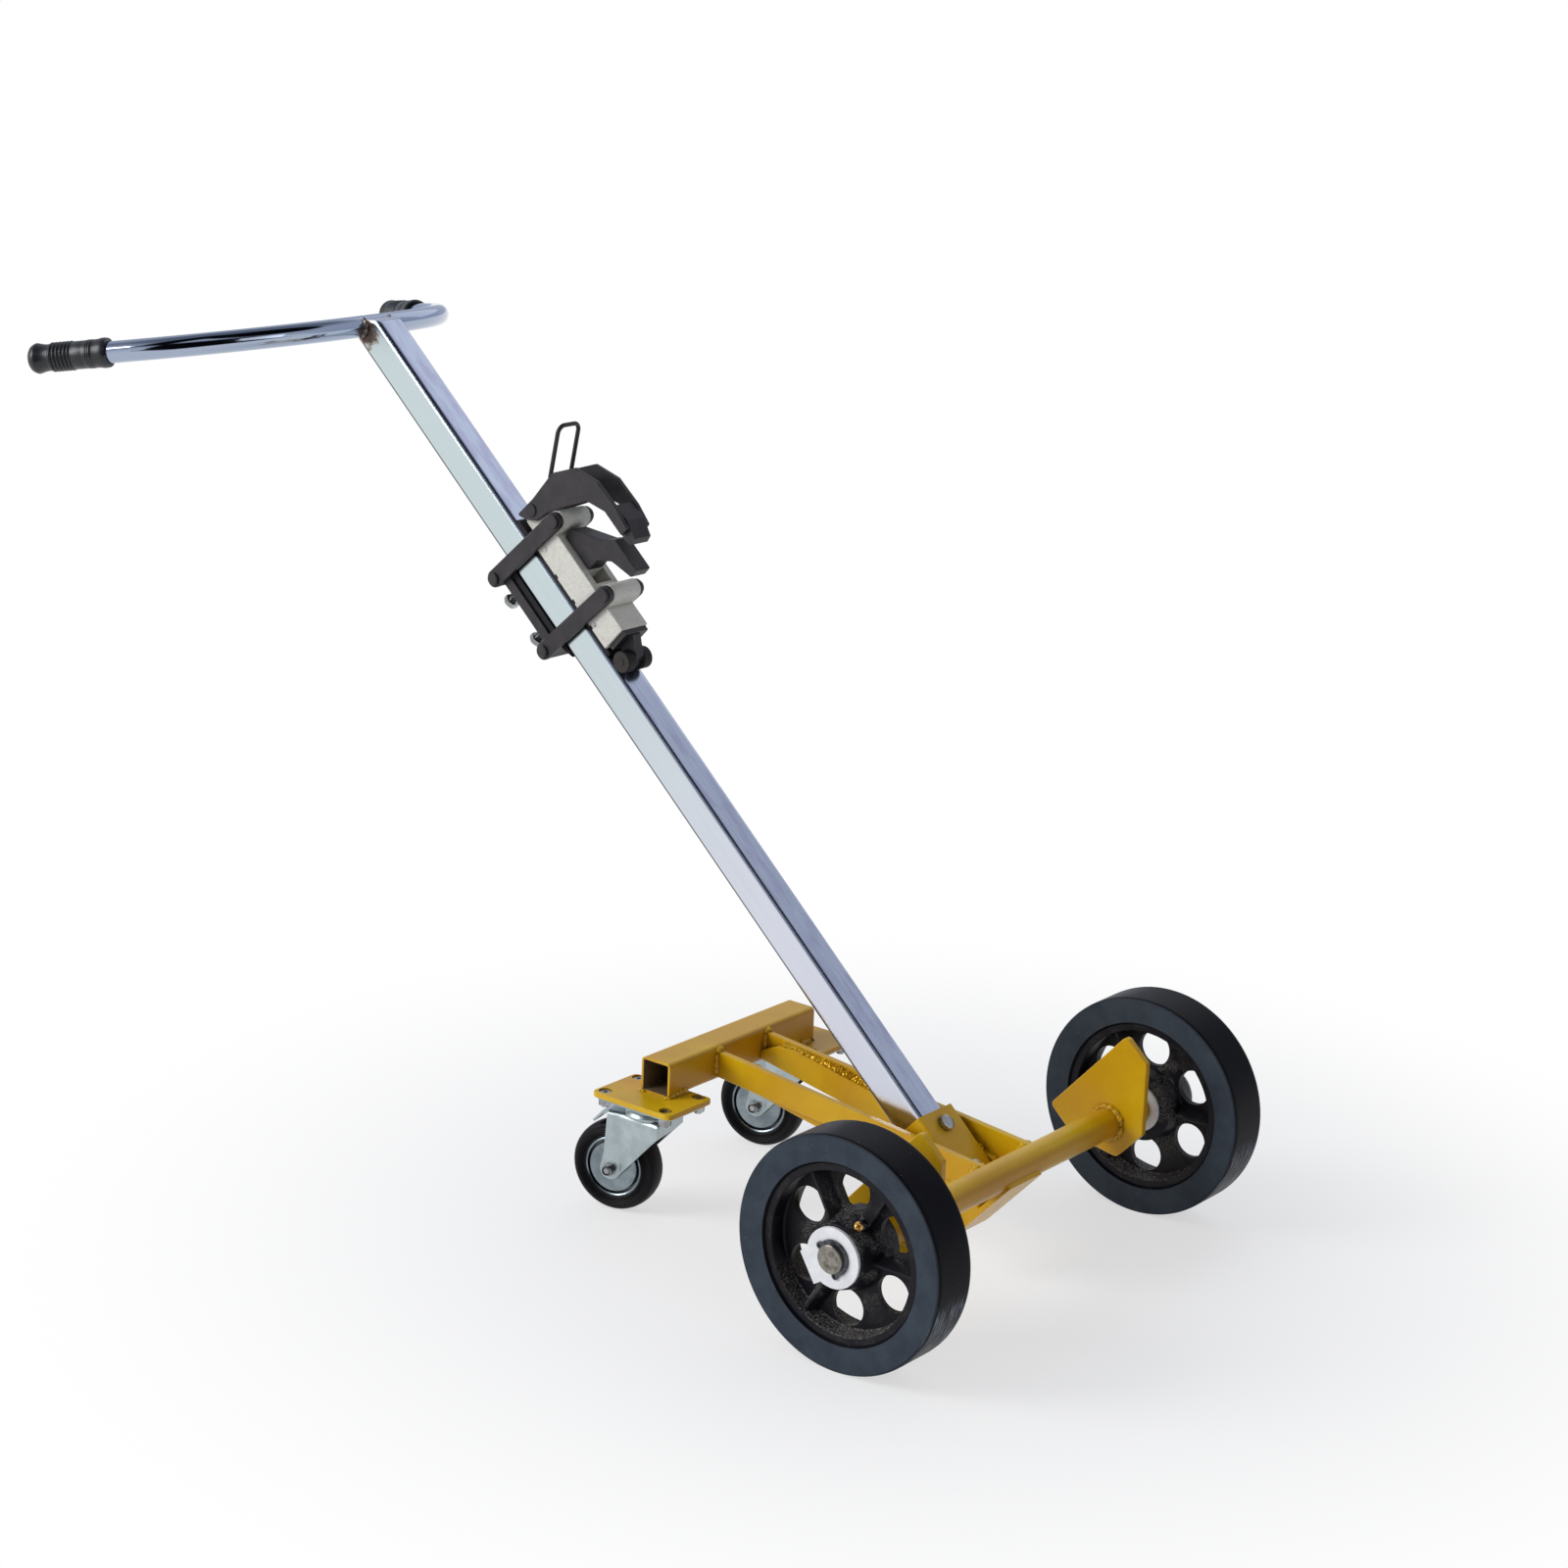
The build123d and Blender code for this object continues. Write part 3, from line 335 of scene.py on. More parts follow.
def studio_world():
    shader = Shader(bpy.data.worlds.new("studio"))
    direction = shader.node("ShaderNodeTexCoord", None, None, "Generated")
    x = shader.node("ShaderNodeSeparateXYZ", None, {0: direction}, "X")
    y, z = x.also("Y"), x.also("Z")
    horizon = shader.mix(above(shader, y, HORIZON_TURN), HORIZON_NEAR, HORIZON_FAR)
    room = shader.mix(above(shader, z, WALL_FOOT), horizon, WALL)
    room = shader.mix(above(shader, z, CEILING_FOOT), room, CEILING)
    to_patch = shader.vector("DOT_PRODUCT", direction, tuple(PATCH_WAY), "Value")
    room = shader.mix(above(shader, to_patch, PATCH_EDGE), room, UNLIT)
    behind = above(shader, x, BEHIND_CAMERA["X"]) * below(shader, y, BEHIND_CAMERA["Y"])
    room = shader.mix(behind * below(shader, z, BEHIND_CAMERA["Z"]), room, UNLIT)
    gap = above(shader, x, GAP_X[0]) * below(shader, x, GAP_X[1])
    gap = gap * above(shader, y, GAP_Y[0]) * below(shader, y, GAP_Y[1])
    room = shader.mix(gap * above(shader, z, GAP_Z), room, UNLIT)
    camera_ray = shader.node("ShaderNodeLightPath", None, None, "Is Camera Ray")
    room = shader.mix(camera_ray, room, WHITE)
    shader.put(shader.tree.nodes["Background"], "Color", room)
    return shader.owner


bpy.context.scene.world = studio_world()

# %% Lamps
LAMP_AIM = Vector((0.1, 0, 0.4))
LAMPS = {
    "key": ((-2.3, -3.0, 2.4), 2.2, 108.0),
    "fill": ((3.4, -1.6, 1.9), 1.8, 11.0),
    "back": ((-0.6, 3.0, 2.6), 2.4, 7.0),
}
for name, (spot, size, power) in LAMPS.items():
    lamp = bpy.data.objects.new(name, bpy.data.lights.new(name, "AREA"))
    lamp.data.size = size
    lamp.data.energy = power
    lamp.location = spot
    aim = LAMP_AIM - lamp.location
    lamp.rotation_euler = aim.to_track_quat("-Z", "Y").to_euler()
    bpy.context.collection.objects.link(lamp)
print("floor, world and", len(LAMPS), "lamps")

# %% [markdown]
# ## Golden enamel
# The base is sprayed with a golden yellow enamel that flows a little before it dries: it is glossy and
# slightly rippled. Painted shade makes it browner in the corners round the welds and on the faces that look
# ahead, away from the key lamp. One noise moves the hue, two more give ripple and sag, and ambient occlusion
# finds the corners for the painted shade. Over the rough stitches the same paint glitters, which a share of
# metal in the shader gives.

# %% Golden enamel
PAINT_BRIGHT = srgb(228, 184, 18)
PAINT_DEEP = srgb(212, 160, 8)
# painted shade for the faces that look ahead, away from the key lamp
PAINT_SHADE_AHEAD = srgb(150, 88, 10)
# painted shade for the corners; the same brown also colours the specks
PAINT_SPECK_AND_CORNER_SHADE = srgb(124, 82, 12)
BARE_INSIDE = srgb(112, 94, 72)
PAINT_SHADE_REACH = 12.0 * MM
CROSS_X = -385.0
CROSS_Z = 161.0
TUBE_INSIDE = 17.0


def painted_corner_shade(shader, reach):
    """Painted shade: 1 deep in a corner that ambient occlusion finds, 0 on an open face."""
    settings = {"samples": 6}
    open_sky = shader.node("ShaderNodeAmbientOcclusion", settings, {"Distance": reach}, "AO")
    return shader.ramp(open_sky, 0.35, 0.9, 1.0, 0.0)


def inside_tube(shader):
    """1 on the inner walls of the cross tube, which the spray doesn't reach."""
    centre = on_base(CROSS_X, 0, CROSS_Z)
    ahead = abs(shader.along((1, 0, 0), centre))
    higher = abs(shader.along((0, 0, 1), centre))
    off_middle = shader.math("MAXIMUM", ahead, higher)
    return shader.ramp(off_middle, (TUBE_INSIDE + 0.3) * MM, (TUBE_INSIDE + 0.9) * MM, 1.0, 0.0)


def golden_enamel(name, gloss, metal, painted_shade):
    """The paint with its base roughness, its share of metal and how much painted shade its corners and
    forward faces get.
    """
    shader = Finish(name, metallic=metal, coat_weight=0.1, coat_roughness=0.08, specular_ior_level=0.3)
    cloud = shader.noise(9.0, 4.0)
    ripple = shader.noise(420.0, 2.0)
    sag = shader.noise(60.0, 2.0)
    paint = shader.mix(shader.ramp(cloud, 0.35, 0.68), PAINT_DEEP, PAINT_BRIGHT)
    patchy = shader.ramp(shader.noise(150.0), 0.3, 0.65, 0.45, 1.0)
    # painted shade: the corners that ambient occlusion finds turn brown, in patches
    corner_shade = painted_corner_shade(shader, PAINT_SHADE_REACH) * patchy * painted_shade
    speck = shader.ramp(shader.noise(700.0, 1.0), 0.70, 0.76) * 0.5
    # painted shade: the faces that look ahead, away from the key lamp, turn browner
    ahead = shader.ramp(shader.facing((1, 0, 0)), 0.6, 0.95) * painted_shade
    paint = shader.mix(ahead * 0.55, paint, PAINT_SHADE_AHEAD)
    paint = shader.mix(corner_shade * 0.8, paint, PAINT_SPECK_AND_CORNER_SHADE)
    paint = shader.mix(speck, paint, PAINT_SPECK_AND_CORNER_SHADE)
    paint = shader.mix(inside_tube(shader), paint, BARE_INSIDE)
    shader.set(base_color=paint, roughness=gloss + cloud * 0.14 + corner_shade * 0.2)
    shader.set(normal=shader.bump(ripple * 0.35 + sag, 0.0006, 0.35))
    return shader.material


GOLD = golden_enamel("golden_enamel", 0.26, 0.0, 1.0)
WELD_GOLD = golden_enamel("weld_enamel", 0.10, 0.35, 0.0)
print("enamels:", GOLD.name, WELD_GOLD.name)

# %% [markdown]
# ## Plated mast and chromed handle
# The mast is drawn square tube, polished along its length and then plated, so its grain runs along s, and
# the passivation leaves lilac blotches on the front. The sides' tint, lilac white low down and green white
# higher up, and the darker lilac grey of the front are painted reflection, and so is a dark line along the
# corners beside the back face. Its corner shows a white and a black line, and a normal rounded wider than the
# solid's own corner makes both wide enough to see. The handle is brighter, nearly a mirror. The weld that
# joins them has burnt the plating brown at the top of the mast, and that burn is a distance from the weld
# with a ragged noise on it.

# %% Plating colours and the burn
# painted reflection: the sides' tints low and high, and the front's darker lilac grey
PLATE_SIDE_REFLECTION_HIGH = srgb(201, 214, 217)
PLATE_SIDE_REFLECTION_LOW = srgb(214, 217, 229)
PLATE_FRONT_REFLECTION = srgb(186, 195, 215)
PLATE_STREAK = srgb(164, 172, 194)
PLATE_LILAC = srgb(166, 168, 196)
# painted reflection: a dark line along the corners beside the back face
PLATE_DARK_REFLECTION = srgb(58, 64, 70)
SCORCH_BROWN = srgb(94, 80, 75)
SCORCH_STRAW = srgb(150, 140, 128)
SCORCH_REACH = (4.0 * MM, 25.0 * MM)
SCORCH_RAGGED = 34.0 * MM
SCORCH_DOWN = 14.0
SCORCH_AHEAD = 3.0
HANDLE_N = -7.7
HANDLE_S = 1156.1


def weld_heat(shader):
    """1 on the mast's sides close under the handle, falling to 0 within three centimetres."""
    up = shader.along(UP_MAST, on_mast(0, 0, HANDLE_S - SCORCH_DOWN))
    out = shader.along(OFF_MAST, on_mast(HANDLE_N + SCORCH_AHEAD, 0, 0))
    away = (up * up + out * out) ** 0.5
    ragged = away + (shader.noise(130.0, 5.0, 0.65) - 0.5) * SCORCH_RAGGED
    on_side = shader.ramp(abs(shader.facing(tuple(SIDE))), 0.7, 0.95)
    return below(shader, ragged, SCORCH_REACH) * on_side


def scorched(shader, plate, heat):
    straw = shader.mix(shader.ramp(heat, 0.08, 0.5), plate, SCORCH_STRAW)
    return shader.mix(shader.ramp(heat, 0.45, 0.8), straw, SCORCH_BROWN)


# %% Mast plate
CORNER_SOFT = 6.0 * MM


def drawn_grain(shader, across, lengthways):
    """Noise pulled out along the mast, as polishing leaves it."""
    inputs = {0: shader.along(OFF_MAST) * across, 1: shader.along(SIDE) * across}
    inputs[2] = shader.along(UP_MAST) * lengthways
    stretched = shader.node("ShaderNodeCombineXYZ", None, inputs)
    return shader.noise(1.0, 4.0, 0.6, stretched)


def mast_plate():
    shader = Finish("mast_plate", metallic=1.0)
    grain = drawn_grain(shader, 240.0, 5.0)
    blotch = drawn_grain(shader, 90.0, 22.0)
    cloud = shader.noise(7.0, 3.0)
    front = shader.ramp(abs(shader.facing(tuple(OFF_MAST))), 0.3, 0.8)
    height = shader.along(UP_MAST, on_mast(0, 0, 0))
    # painted reflection: the sides fade from lilac white low down to green white higher up, the front is
    # darker
    plate = shader.mix(shader.ramp(height, 0.25, 0.75), PLATE_SIDE_REFLECTION_LOW, PLATE_SIDE_REFLECTION_HIGH)
    plate = shader.mix(front, plate, PLATE_FRONT_REFLECTION)
    streak = shader.ramp(grain, 0.4, 0.68) * shader.ramp(cloud, 0.35, 0.65, 0.3, 1.0)
    plate = shader.mix(streak * (0.1 + front * 0.5), plate, PLATE_STREAK)
    plate = shader.mix(front * shader.ramp(blotch, 0.45, 0.65) * 0.7, plate, PLATE_LILAC)
    # painted reflection: the corners beside the back face turn dark, as if mirroring something dark
    behind = shader.facing(tuple(-OFF_MAST))
    dark_corner_reflection = shader.ramp(behind, 0.04, 0.28) * shader.ramp(behind, 0.9, 0.99, 1.0, 0.0)
    plate = shader.mix(dark_corner_reflection, plate, PLATE_DARK_REFLECTION)
    heat = weld_heat(shader)
    shader.set(base_color=scorched(shader, plate, heat))
    shader.set(roughness=0.16 + cloud * 0.06 + heat * 0.25)
    soft = shader.node("ShaderNodeBevel", {"samples": 8}, {"Radius": CORNER_SOFT})
    shader.set(normal=shader.bump(cloud, 0.0006, 0.05, soft))
    return shader.material


# %% Handle chrome and the burnt weld
CHROME = srgb(162, 173, 193)
CHROME_DULL = srgb(150, 158, 172)
WELD_GREY = srgb(176, 170, 164)


def handle_chrome():
    shader = Finish("handle_chrome", metallic=1.0)
    bloom = shader.noise(26.0, 4.0)
    fleck = shader.ramp(shader.noise(320.0, 2.0), 0.62, 0.75)
    shader.set(base_color=shader.mix(fleck * 0.25, CHROME, CHROME_DULL))
    shader.set(roughness=0.06 + shader.ramp(bloom, 0.45, 0.8) * 0.1 + fleck * 0.08)
    shader.set(normal=shader.bump(bloom, 0.0008, 0.1))
    return shader.material


def burnt_weld():
    shader = Finish("burnt_weld", metallic=0.8)
    patch = shader.noise(240.0, 4.0, 0.6)
    tint = shader.mix(shader.ramp(patch, 0.5, 0.72), SCORCH_BROWN, WELD_GREY)
    shader.set(base_color=tint, roughness=0.34 + patch * 0.2)
    shader.set(normal=shader.bump(patch, 0.0004, 0.3))
    return shader.material


MAST_PLATE = mast_plate()
CHROMED = handle_chrome()
BURNT_WELD = burnt_weld()
print("plating:", MAST_PLATE.name, CHROMED.name, BURNT_WELD.name)

# %% [markdown]
# ## Zinc
# The casters are pressed from sheet and zinc plated, a cool blue white with cloudy patches and fine
# scratches. Their wheel discs are duller, bolts and nuts have the same plating over turned steel, a little
# warmer, and the hub washers are nearly white. One function makes all four from two colours and a polish,
# because little else differs.

# %% Zinc plate
# painted shade for the corners of the zinc parts
ZINC_CORNER_SHADE = srgb(70, 70, 72)
ZINC_SHADE_REACH = 6.0 * MM


def zinc(name, bright, dull, polish, metallic=1.0):
    shader = Finish(name, metallic=metallic)
    cloud = shader.noise(45.0, 4.0, 0.6)
    scratch = shader.noise(900.0, 2.0, 0.7, twist=1.5)
    tint = shader.mix(shader.ramp(cloud, 0.35, 0.7), dull, bright)
    tint = shader.mix(shader.ramp(scratch, 0.6, 0.72) * 0.35, tint, dull)
    # painted shade: zinc darkens in the corners that ambient occlusion finds
    zinc_corner_shade = painted_corner_shade(shader, ZINC_SHADE_REACH) * 0.6
    tint = shader.mix(zinc_corner_shade, tint, ZINC_CORNER_SHADE)
    shader.set(base_color=tint, roughness=polish + cloud * 0.12 + zinc_corner_shade * 0.2)
    shader.set(normal=shader.bump(scratch * 0.4 + cloud, 0.0004, 0.2))
    return shader.material


CASTER_ZINC = zinc("caster_zinc", srgb(182, 194, 197), srgb(163, 175, 178), 0.28)
RIM_ZINC = zinc("rim_zinc", srgb(146, 157, 162), srgb(116, 127, 134), 0.2)
BOLT_ZINC = zinc("bolt_zinc", srgb(196, 198, 199), srgb(140, 142, 144), 0.12)
WASHER_ZINC = zinc("washer_zinc", srgb(253, 253, 253), srgb(238, 238, 240), 0.35, 0.0)
print("zinc:", CASTER_ZINC.name, RIM_ZINC.name, BOLT_ZINC.name, WASHER_ZINC.name)

# %% [markdown]
# ## Turned steel, brass and bronze
# The axle's end is bare steel from the lathe, greyish brown where it has been handled, with fine rings
# round its centre. The nipple is brass, the bush is bronze and the circlip is dark spring steel. The rings
# come from the distance to the axle, so they stay round whatever the mesh is.

# %% Turned metals
def round_axle(shader):
    """Distance from the front axle's line, in metres."""
    x = shader.along((1, 0, 0), AXLE)
    z = shader.along((0, 0, 1), AXLE)
    return (x * x + z * z) ** 0.5


def turned_metal(name, bright, stained, polish, ring_turn):
    """A metal from the lathe; ring_turn says how fast its tool marks follow one another."""
    shader = Finish(name, metallic=1.0)
    rings = shader.math("SINE", round_axle(shader) * ring_turn)
    cloud = shader.noise(130.0, 4.0, 0.6)
    tint = shader.mix(shader.ramp(cloud, 0.4, 0.7), bright, stained)
    shader.set(base_color=tint, roughness=polish + cloud * 0.2)
    shader.set(normal=shader.bump(rings * 0.5 + cloud, 0.00012, 0.4))
    return shader.material


AXLE_STEEL = turned_metal("axle_steel", srgb(150, 146, 138), srgb(104, 98, 89), 0.3, 9000.0)
NIPPLE_BRASS = turned_metal("nipple_brass", srgb(214, 172, 98), srgb(130, 96, 52), 0.22, 6000.0)
BUSH_BRONZE = turned_metal("bush_bronze", srgb(190, 138, 82), srgb(128, 86, 46), 0.35, 6000.0)
CIRCLIP_STEEL = turned_metal("circlip_steel", srgb(92, 94, 100), srgb(52, 52, 58), 0.3, 3000.0)
print("turned:", AXLE_STEEL.name, NIPPLE_BRASS.name, BUSH_BRONZE.name, CIRCLIP_STEEL.name)

# %% [markdown]
# ## Rubber
# Five rubbers: the solid tyre, slate grey and powdery on its sides and black on the tread, the caster tread,
# the grips, the clamp's pads and its rollers. Three of them differ only in colour, bloom, shine and grain, so
# one function takes those. Roller and tyre also change with the way the surface faces, from rolling face to
# cut end and from tread to side, and the tyre's tread carries a painted sheen: a patch of pale streaks that
# run round the tread.

# %% Caster tread, grips, pads and rollers
ROLLER_BLACK = srgb(12, 12, 15)
ROLLER_END_DARK = srgb(38, 35, 33)
ROLLER_END_PALE = srgb(54, 50, 47)


def rubber(name, dark, bloom, polish, shine, grain_scale, depth):
    shader = Finish(name, specular_ior_level=shine)
    cloud = shader.noise(22.0, 4.0)
    grain = shader.noise(grain_scale, 2.0)
    dust = shader.ramp(cloud, 0.4, 0.75) * shader.ramp(grain, 0.3, 0.7)
    shader.set(base_color=shader.mix(dust, dark, bloom), roughness=polish + dust * 0.08)
    shader.set(normal=shader.bump(grain, depth, 0.4))
    return shader.material


def roller_rubber():
    """Black on the rolling face, a warmer grey on the cut ends."""
    shader = Finish("roller_rubber", specular_ior_level=0.3)
    cloud = shader.noise(60.0, 4.0)
    grain = shader.noise(700.0, 2.0)
    cut = shader.ramp(abs(shader.facing((0, 1, 0))), 0.8, 0.95)
    end_tint = shader.mix(cloud, ROLLER_END_DARK, ROLLER_END_PALE)
    shader.set(base_color=shader.mix(cut, ROLLER_BLACK, end_tint), roughness=0.55 + cloud * 0.15)
    shader.set(normal=shader.bump(grain, 0.0002, 0.4))
    return shader.material


CASTER_TREAD = rubber("caster_tread", srgb(11, 10, 14), srgb(24, 23, 28), 0.5, 0.15, 700.0, 0.0002)
GRIP = rubber("grip_rubber", srgb(22, 24, 29), srgb(40, 43, 50), 0.34, 0.5, 900.0, 0.0001)
PAD = rubber("pad_rubber", srgb(20, 20, 23), srgb(44, 44, 47), 0.7, 0.3, 600.0, 0.0003)
ROLLER = roller_rubber()
print("rubbers:", CASTER_TREAD.name, GRIP.name, PAD.name, ROLLER.name)

# %% The solid tyre
TREAD_BLACK = srgb(9, 8, 14)
TREAD_WORN = srgb(14, 14, 21)
SLATE_DARK = srgb(57, 64, 73)
SLATE_PALE = srgb(67, 75, 84)
# painted sheen: the pale bluish grey of the streaks on the tread, and where they lie
SHEEN_STREAK_GREY = srgb(150, 158, 170)
SPECK_GREY = srgb(118, 120, 122)
SHEEN_EDGE = (118.5 * MM, 123.5 * MM)
SHEEN_LONG = 30.0
SHEEN_FINE = 700.0
SHEEN_TURN = math.radians(-24.0)
SHEEN_OUT = Vector((math.cos(SHEEN_TURN), 0, math.sin(SHEEN_TURN)))
SHEEN_WAY = Vector((-math.sin(SHEEN_TURN), 0, math.cos(SHEEN_TURN)))


def tyre_rubber():
    shader = Finish("tyre_rubber", specular_ior_level=0.06)
    cloud = shader.noise(30.0, 5.0, 0.6)
    grain = shader.noise(800.0, 2.0)
    speck = shader.ramp(shader.noise(260.0, 1.0), 0.75, 0.79)
    side = shader.ramp(abs(shader.facing((0, 1, 0))), 0.80, 0.97)
    tread_tint = shader.mix(shader.ramp(cloud, 0.35, 0.75), TREAD_BLACK, TREAD_WORN)
    side_tint = shader.mix(shader.ramp(cloud, 0.3, 0.7), SLATE_DARK, SLATE_PALE)
    # painted sheen: pale streaks pulled out round the tread, ahead of the axle and a little below it
    pulled = {0: shader.along(SHEEN_WAY) * SHEEN_LONG, 1: shader.along(SIDE) * SHEEN_FINE}
    pulled[2] = shader.along(SHEEN_OUT) * SHEEN_LONG
    streaks = shader.noise(1.0, 3.0, 0.6, shader.node("ShaderNodeCombineXYZ", None, pulled))
    sheen_streaks = shader.ramp(streaks, 0.5, 0.66) * above(shader, shader.along(SHEEN_OUT, AXLE), SHEEN_EDGE)
    tread_tint = shader.mix(sheen_streaks * 0.8, tread_tint, SHEEN_STREAK_GREY)
    tint = shader.mix(side, tread_tint, side_tint)
    tint = shader.mix(speck * 0.35, tint, SPECK_GREY)
    shader.set(base_color=tint, roughness=0.34 + side * 0.28 + cloud * 0.08)
    shader.set(normal=shader.bump(grain + cloud * 0.6, 0.0004, 0.3))
    return shader.material


TYRE = tyre_rubber()
# the pale streaks on the tread are painted sheen, placed at this angle
print("tyre scuffed at", round(math.degrees(SHEEN_TURN)), "degrees")

# %% [markdown]
# ## Cast iron
# The front wheel's core is sand cast and dipped in black paint, so the sand still shows, and grey dust sits
# on the hub. What faces up in the lower half of the dish turns grey too, partly dust and partly painted light
# for the faces that the lamps reach. The clamp block is the same kind of casting left raw, a beige grey. Fine
# noise gives the sand, coarse noise the lumps, and the grey follows the height, the way a face lies and the
# distance from the axle.

# %% Wheel casting
CAST_BLACK = srgb(11, 10, 17)
CAST_SOFT = srgb(18, 16, 25)
# grey for the dust on the hub, and for painted light on the up-facing faces of the lower dish
CAST_DUST_AND_LIT_GREY = srgb(132, 129, 124)
DISH_LOW = (20.0 * MM, 60.0 * MM)
HUB_EDGE = (50.0 * MM, 72.0 * MM)


def wheel_casting():
    shader = Finish("wheel_casting", specular_ior_level=0.2)
    sand = shader.noise(560.0, 3.0, 0.7)
    lump = shader.noise(160.0, 3.0)
    low_half = above(shader, shader.along((0, 0, -1), AXLE), DISH_LOW)
    # dust and painted light: faces that look up in the lower half of the dish turn grey, as if lit
    up_dust_and_light = shader.ramp(shader.facing((0, 0, 1)), 0.12, 0.5) * low_half
    near_hub = shader.ramp(round_axle(shader), *HUB_EDGE, 0.7, 0.12)
    hub = shader.ramp(shader.noise(38.0, 2.0), 0.47, 0.58) * near_hub
    dust = shader.math("MAXIMUM", up_dust_and_light, hub) * shader.ramp(sand, 0.44, 0.62)
    paint = shader.mix(shader.ramp(lump, 0.35, 0.7), CAST_BLACK, CAST_SOFT)
    shader.set(base_color=shader.mix(dust * 0.85, paint, CAST_DUST_AND_LIT_GREY))
    shader.set(roughness=0.45 + dust * 0.35 + lump * 0.1)
    shader.set(normal=shader.bump(sand * (0.2 + dust) + lump * 0.3, 0.0012, 0.3))
    return shader.material


# %% Block casting
BLOCK_DARK = srgb(200, 198, 189)
BLOCK_PALE = srgb(226, 224, 216)
BLOCK_BEIGE = srgb(198, 191, 176)
# dark grey for the real pits and for the painted shade in corners
BLOCK_PIT_AND_SHADE = srgb(96, 92, 84)
BLOCK_SHADE_REACH = 8.0 * MM


def block_casting():
    shader = Finish("block_casting", metallic=0.15)
    sand = shader.noise(800.0, 4.0, 0.7)
    lump = shader.noise(120.0, 3.0)
    pit = shader.ramp(shader.noise(420.0, 1.0), 0.68, 0.76)
    # painted shade: the corners that ambient occlusion finds darken along with the real pits
    corner_shade = painted_corner_shade(shader, BLOCK_SHADE_REACH)
    tint = shader.mix(shader.ramp(sand, 0.3, 0.7), BLOCK_DARK, BLOCK_PALE)
    tint = shader.mix(shader.ramp(lump, 0.45, 0.75) * 0.4, tint, BLOCK_BEIGE)
    tint = shader.mix(pit * 0.5 + corner_shade * 0.5, tint, BLOCK_PIT_AND_SHADE)
    shader.set(base_color=tint, roughness=0.72 + sand * 0.15)
    shader.set(normal=shader.bump(sand * 0.6 + lump, 0.0010, 0.4))
    return shader.material


WHEEL_CAST = wheel_casting()
BLOCK_CAST = block_casting()
print("castings:", WHEEL_CAST.name, BLOCK_CAST.name)

# %% [markdown]
# ## Blackened steel
# The clamp's links, bar and hook are hot rolled flats with a thin black finish: charcoal, half matt, paler
# where an edge rubs. A second normal, rounded over the edges, differs from the true one only near an edge,
# and that difference is the mask for the rubbed line. The wire pull and its pivot are drawn smooth, so they
# get a plainer finish without grain.

# %% Black steel
STEEL_DARK = srgb(41, 38, 41)
STEEL_PALE = srgb(53, 49, 53)
STEEL_RUBBED = srgb(118, 116, 119)
RUB_WIDTH = 1.2 * MM
WIRE_DARK = srgb(24, 23, 28)
WIRE_PALE = srgb(40, 38, 44)


def rubbed_edge(shader, width):
    """1 along the edges, 0 on the faces."""
    rounded = shader.node("ShaderNodeBevel", {"samples": 4}, {"Radius": width})
    true = shader.node("ShaderNodeNewGeometry", None, None, "Normal")
    same = shader.vector("DOT_PRODUCT", rounded, true, "Value")
    return shader.ramp(same, 0.80, 0.985, 1.0, 0.0)


def clamp_black():
    shader = Finish("clamp_black", metallic=0.35)
    cloud = shader.noise(60.0, 4.0)
    grain = shader.noise(900.0, 2.0)
    rub = rubbed_edge(shader, RUB_WIDTH) * shader.ramp(grain + cloud, 0.75, 1.15)
    tint = shader.mix(shader.ramp(cloud, 0.35, 0.7), STEEL_DARK, STEEL_PALE)
    shader.set(base_color=shader.mix(rub * 0.5, tint, STEEL_RUBBED))
    shader.set(roughness=0.44 + cloud * 0.12 - rub * 0.1)
    shader.set(normal=shader.bump(grain * 0.5 + cloud, 0.0004, 0.3))
    return shader.material


def drawn_wire():
    """Smooth drawn wire, black with an oily sheen in long clouds."""
    shader = Finish("drawn_wire", specular_ior_level=0.4)
    cloud = shader.noise(30.0, 2.0)
    shader.set(base_color=shader.mix(cloud, WIRE_DARK, WIRE_PALE))
    shader.set(roughness=0.35 + cloud * 0.15)
    return shader.material


BLACK_STEEL = clamp_black()
BLACK_WIRE = drawn_wire()
print(len(bpy.data.materials), "materials so far")

# %% [markdown]
# ## Dress the solids
# Each solid keeps its shape and gets its finish. A table from finish to the names of its pieces reads like
# the order a workshop would sort them in, and a name without a side stands for both sides.

# %% Finishes on the solids
FINISHES = {
    GOLD: "cross_tube caster_plate side_bar brace_bar mast_socket axle_tube cradle_lug",
    MAST_PLATE: "mast",
    CHROMED: "handle_tube",
    CASTER_ZINC: "top_plate caster_fork kingpins",
    RIM_ZINC: "caster_rim",
    BOLT_ZINC: "socket_bolts caster_bolts caster_axle caster_nut adjusters pad_pins",
    WASHER_ZINC: "hub_washers",
    AXLE_STEEL: "axle",
    BLACK_WIRE: "hook_bail hook_pivot",
    CIRCLIP_STEEL: "axle_circlips",
    NIPPLE_BRASS: "grease_nipple",
    BUSH_BRONZE: "wheel_bush",
    TYRE: "wheel_tyre",
    CASTER_TREAD: "caster_tyre",
    GRIP: "grip",
    PAD: "front_pad back_pad",
    ROLLER: "guide_rollers roller_pin",
    WHEEL_CAST: "wheel_core",
    BLOCK_CAST: "clamp_block",
    BLACK_STEEL: "jaw_anvil link_pins back_bar hook_cheeks hook_nose roller_bracket"
    " upper_links lower_links upper_rear_pin lower_rear_pin",
}
dressed = set()
for finish, names in FINISHES.items():
    for name in names.split():
        for node in (name, name + "_r", name + "_l"):
            if node in nodes:
                mesh = nodes[node].data
                mesh.materials.clear()
                mesh.materials.append(finish)
                dressed.add(node)
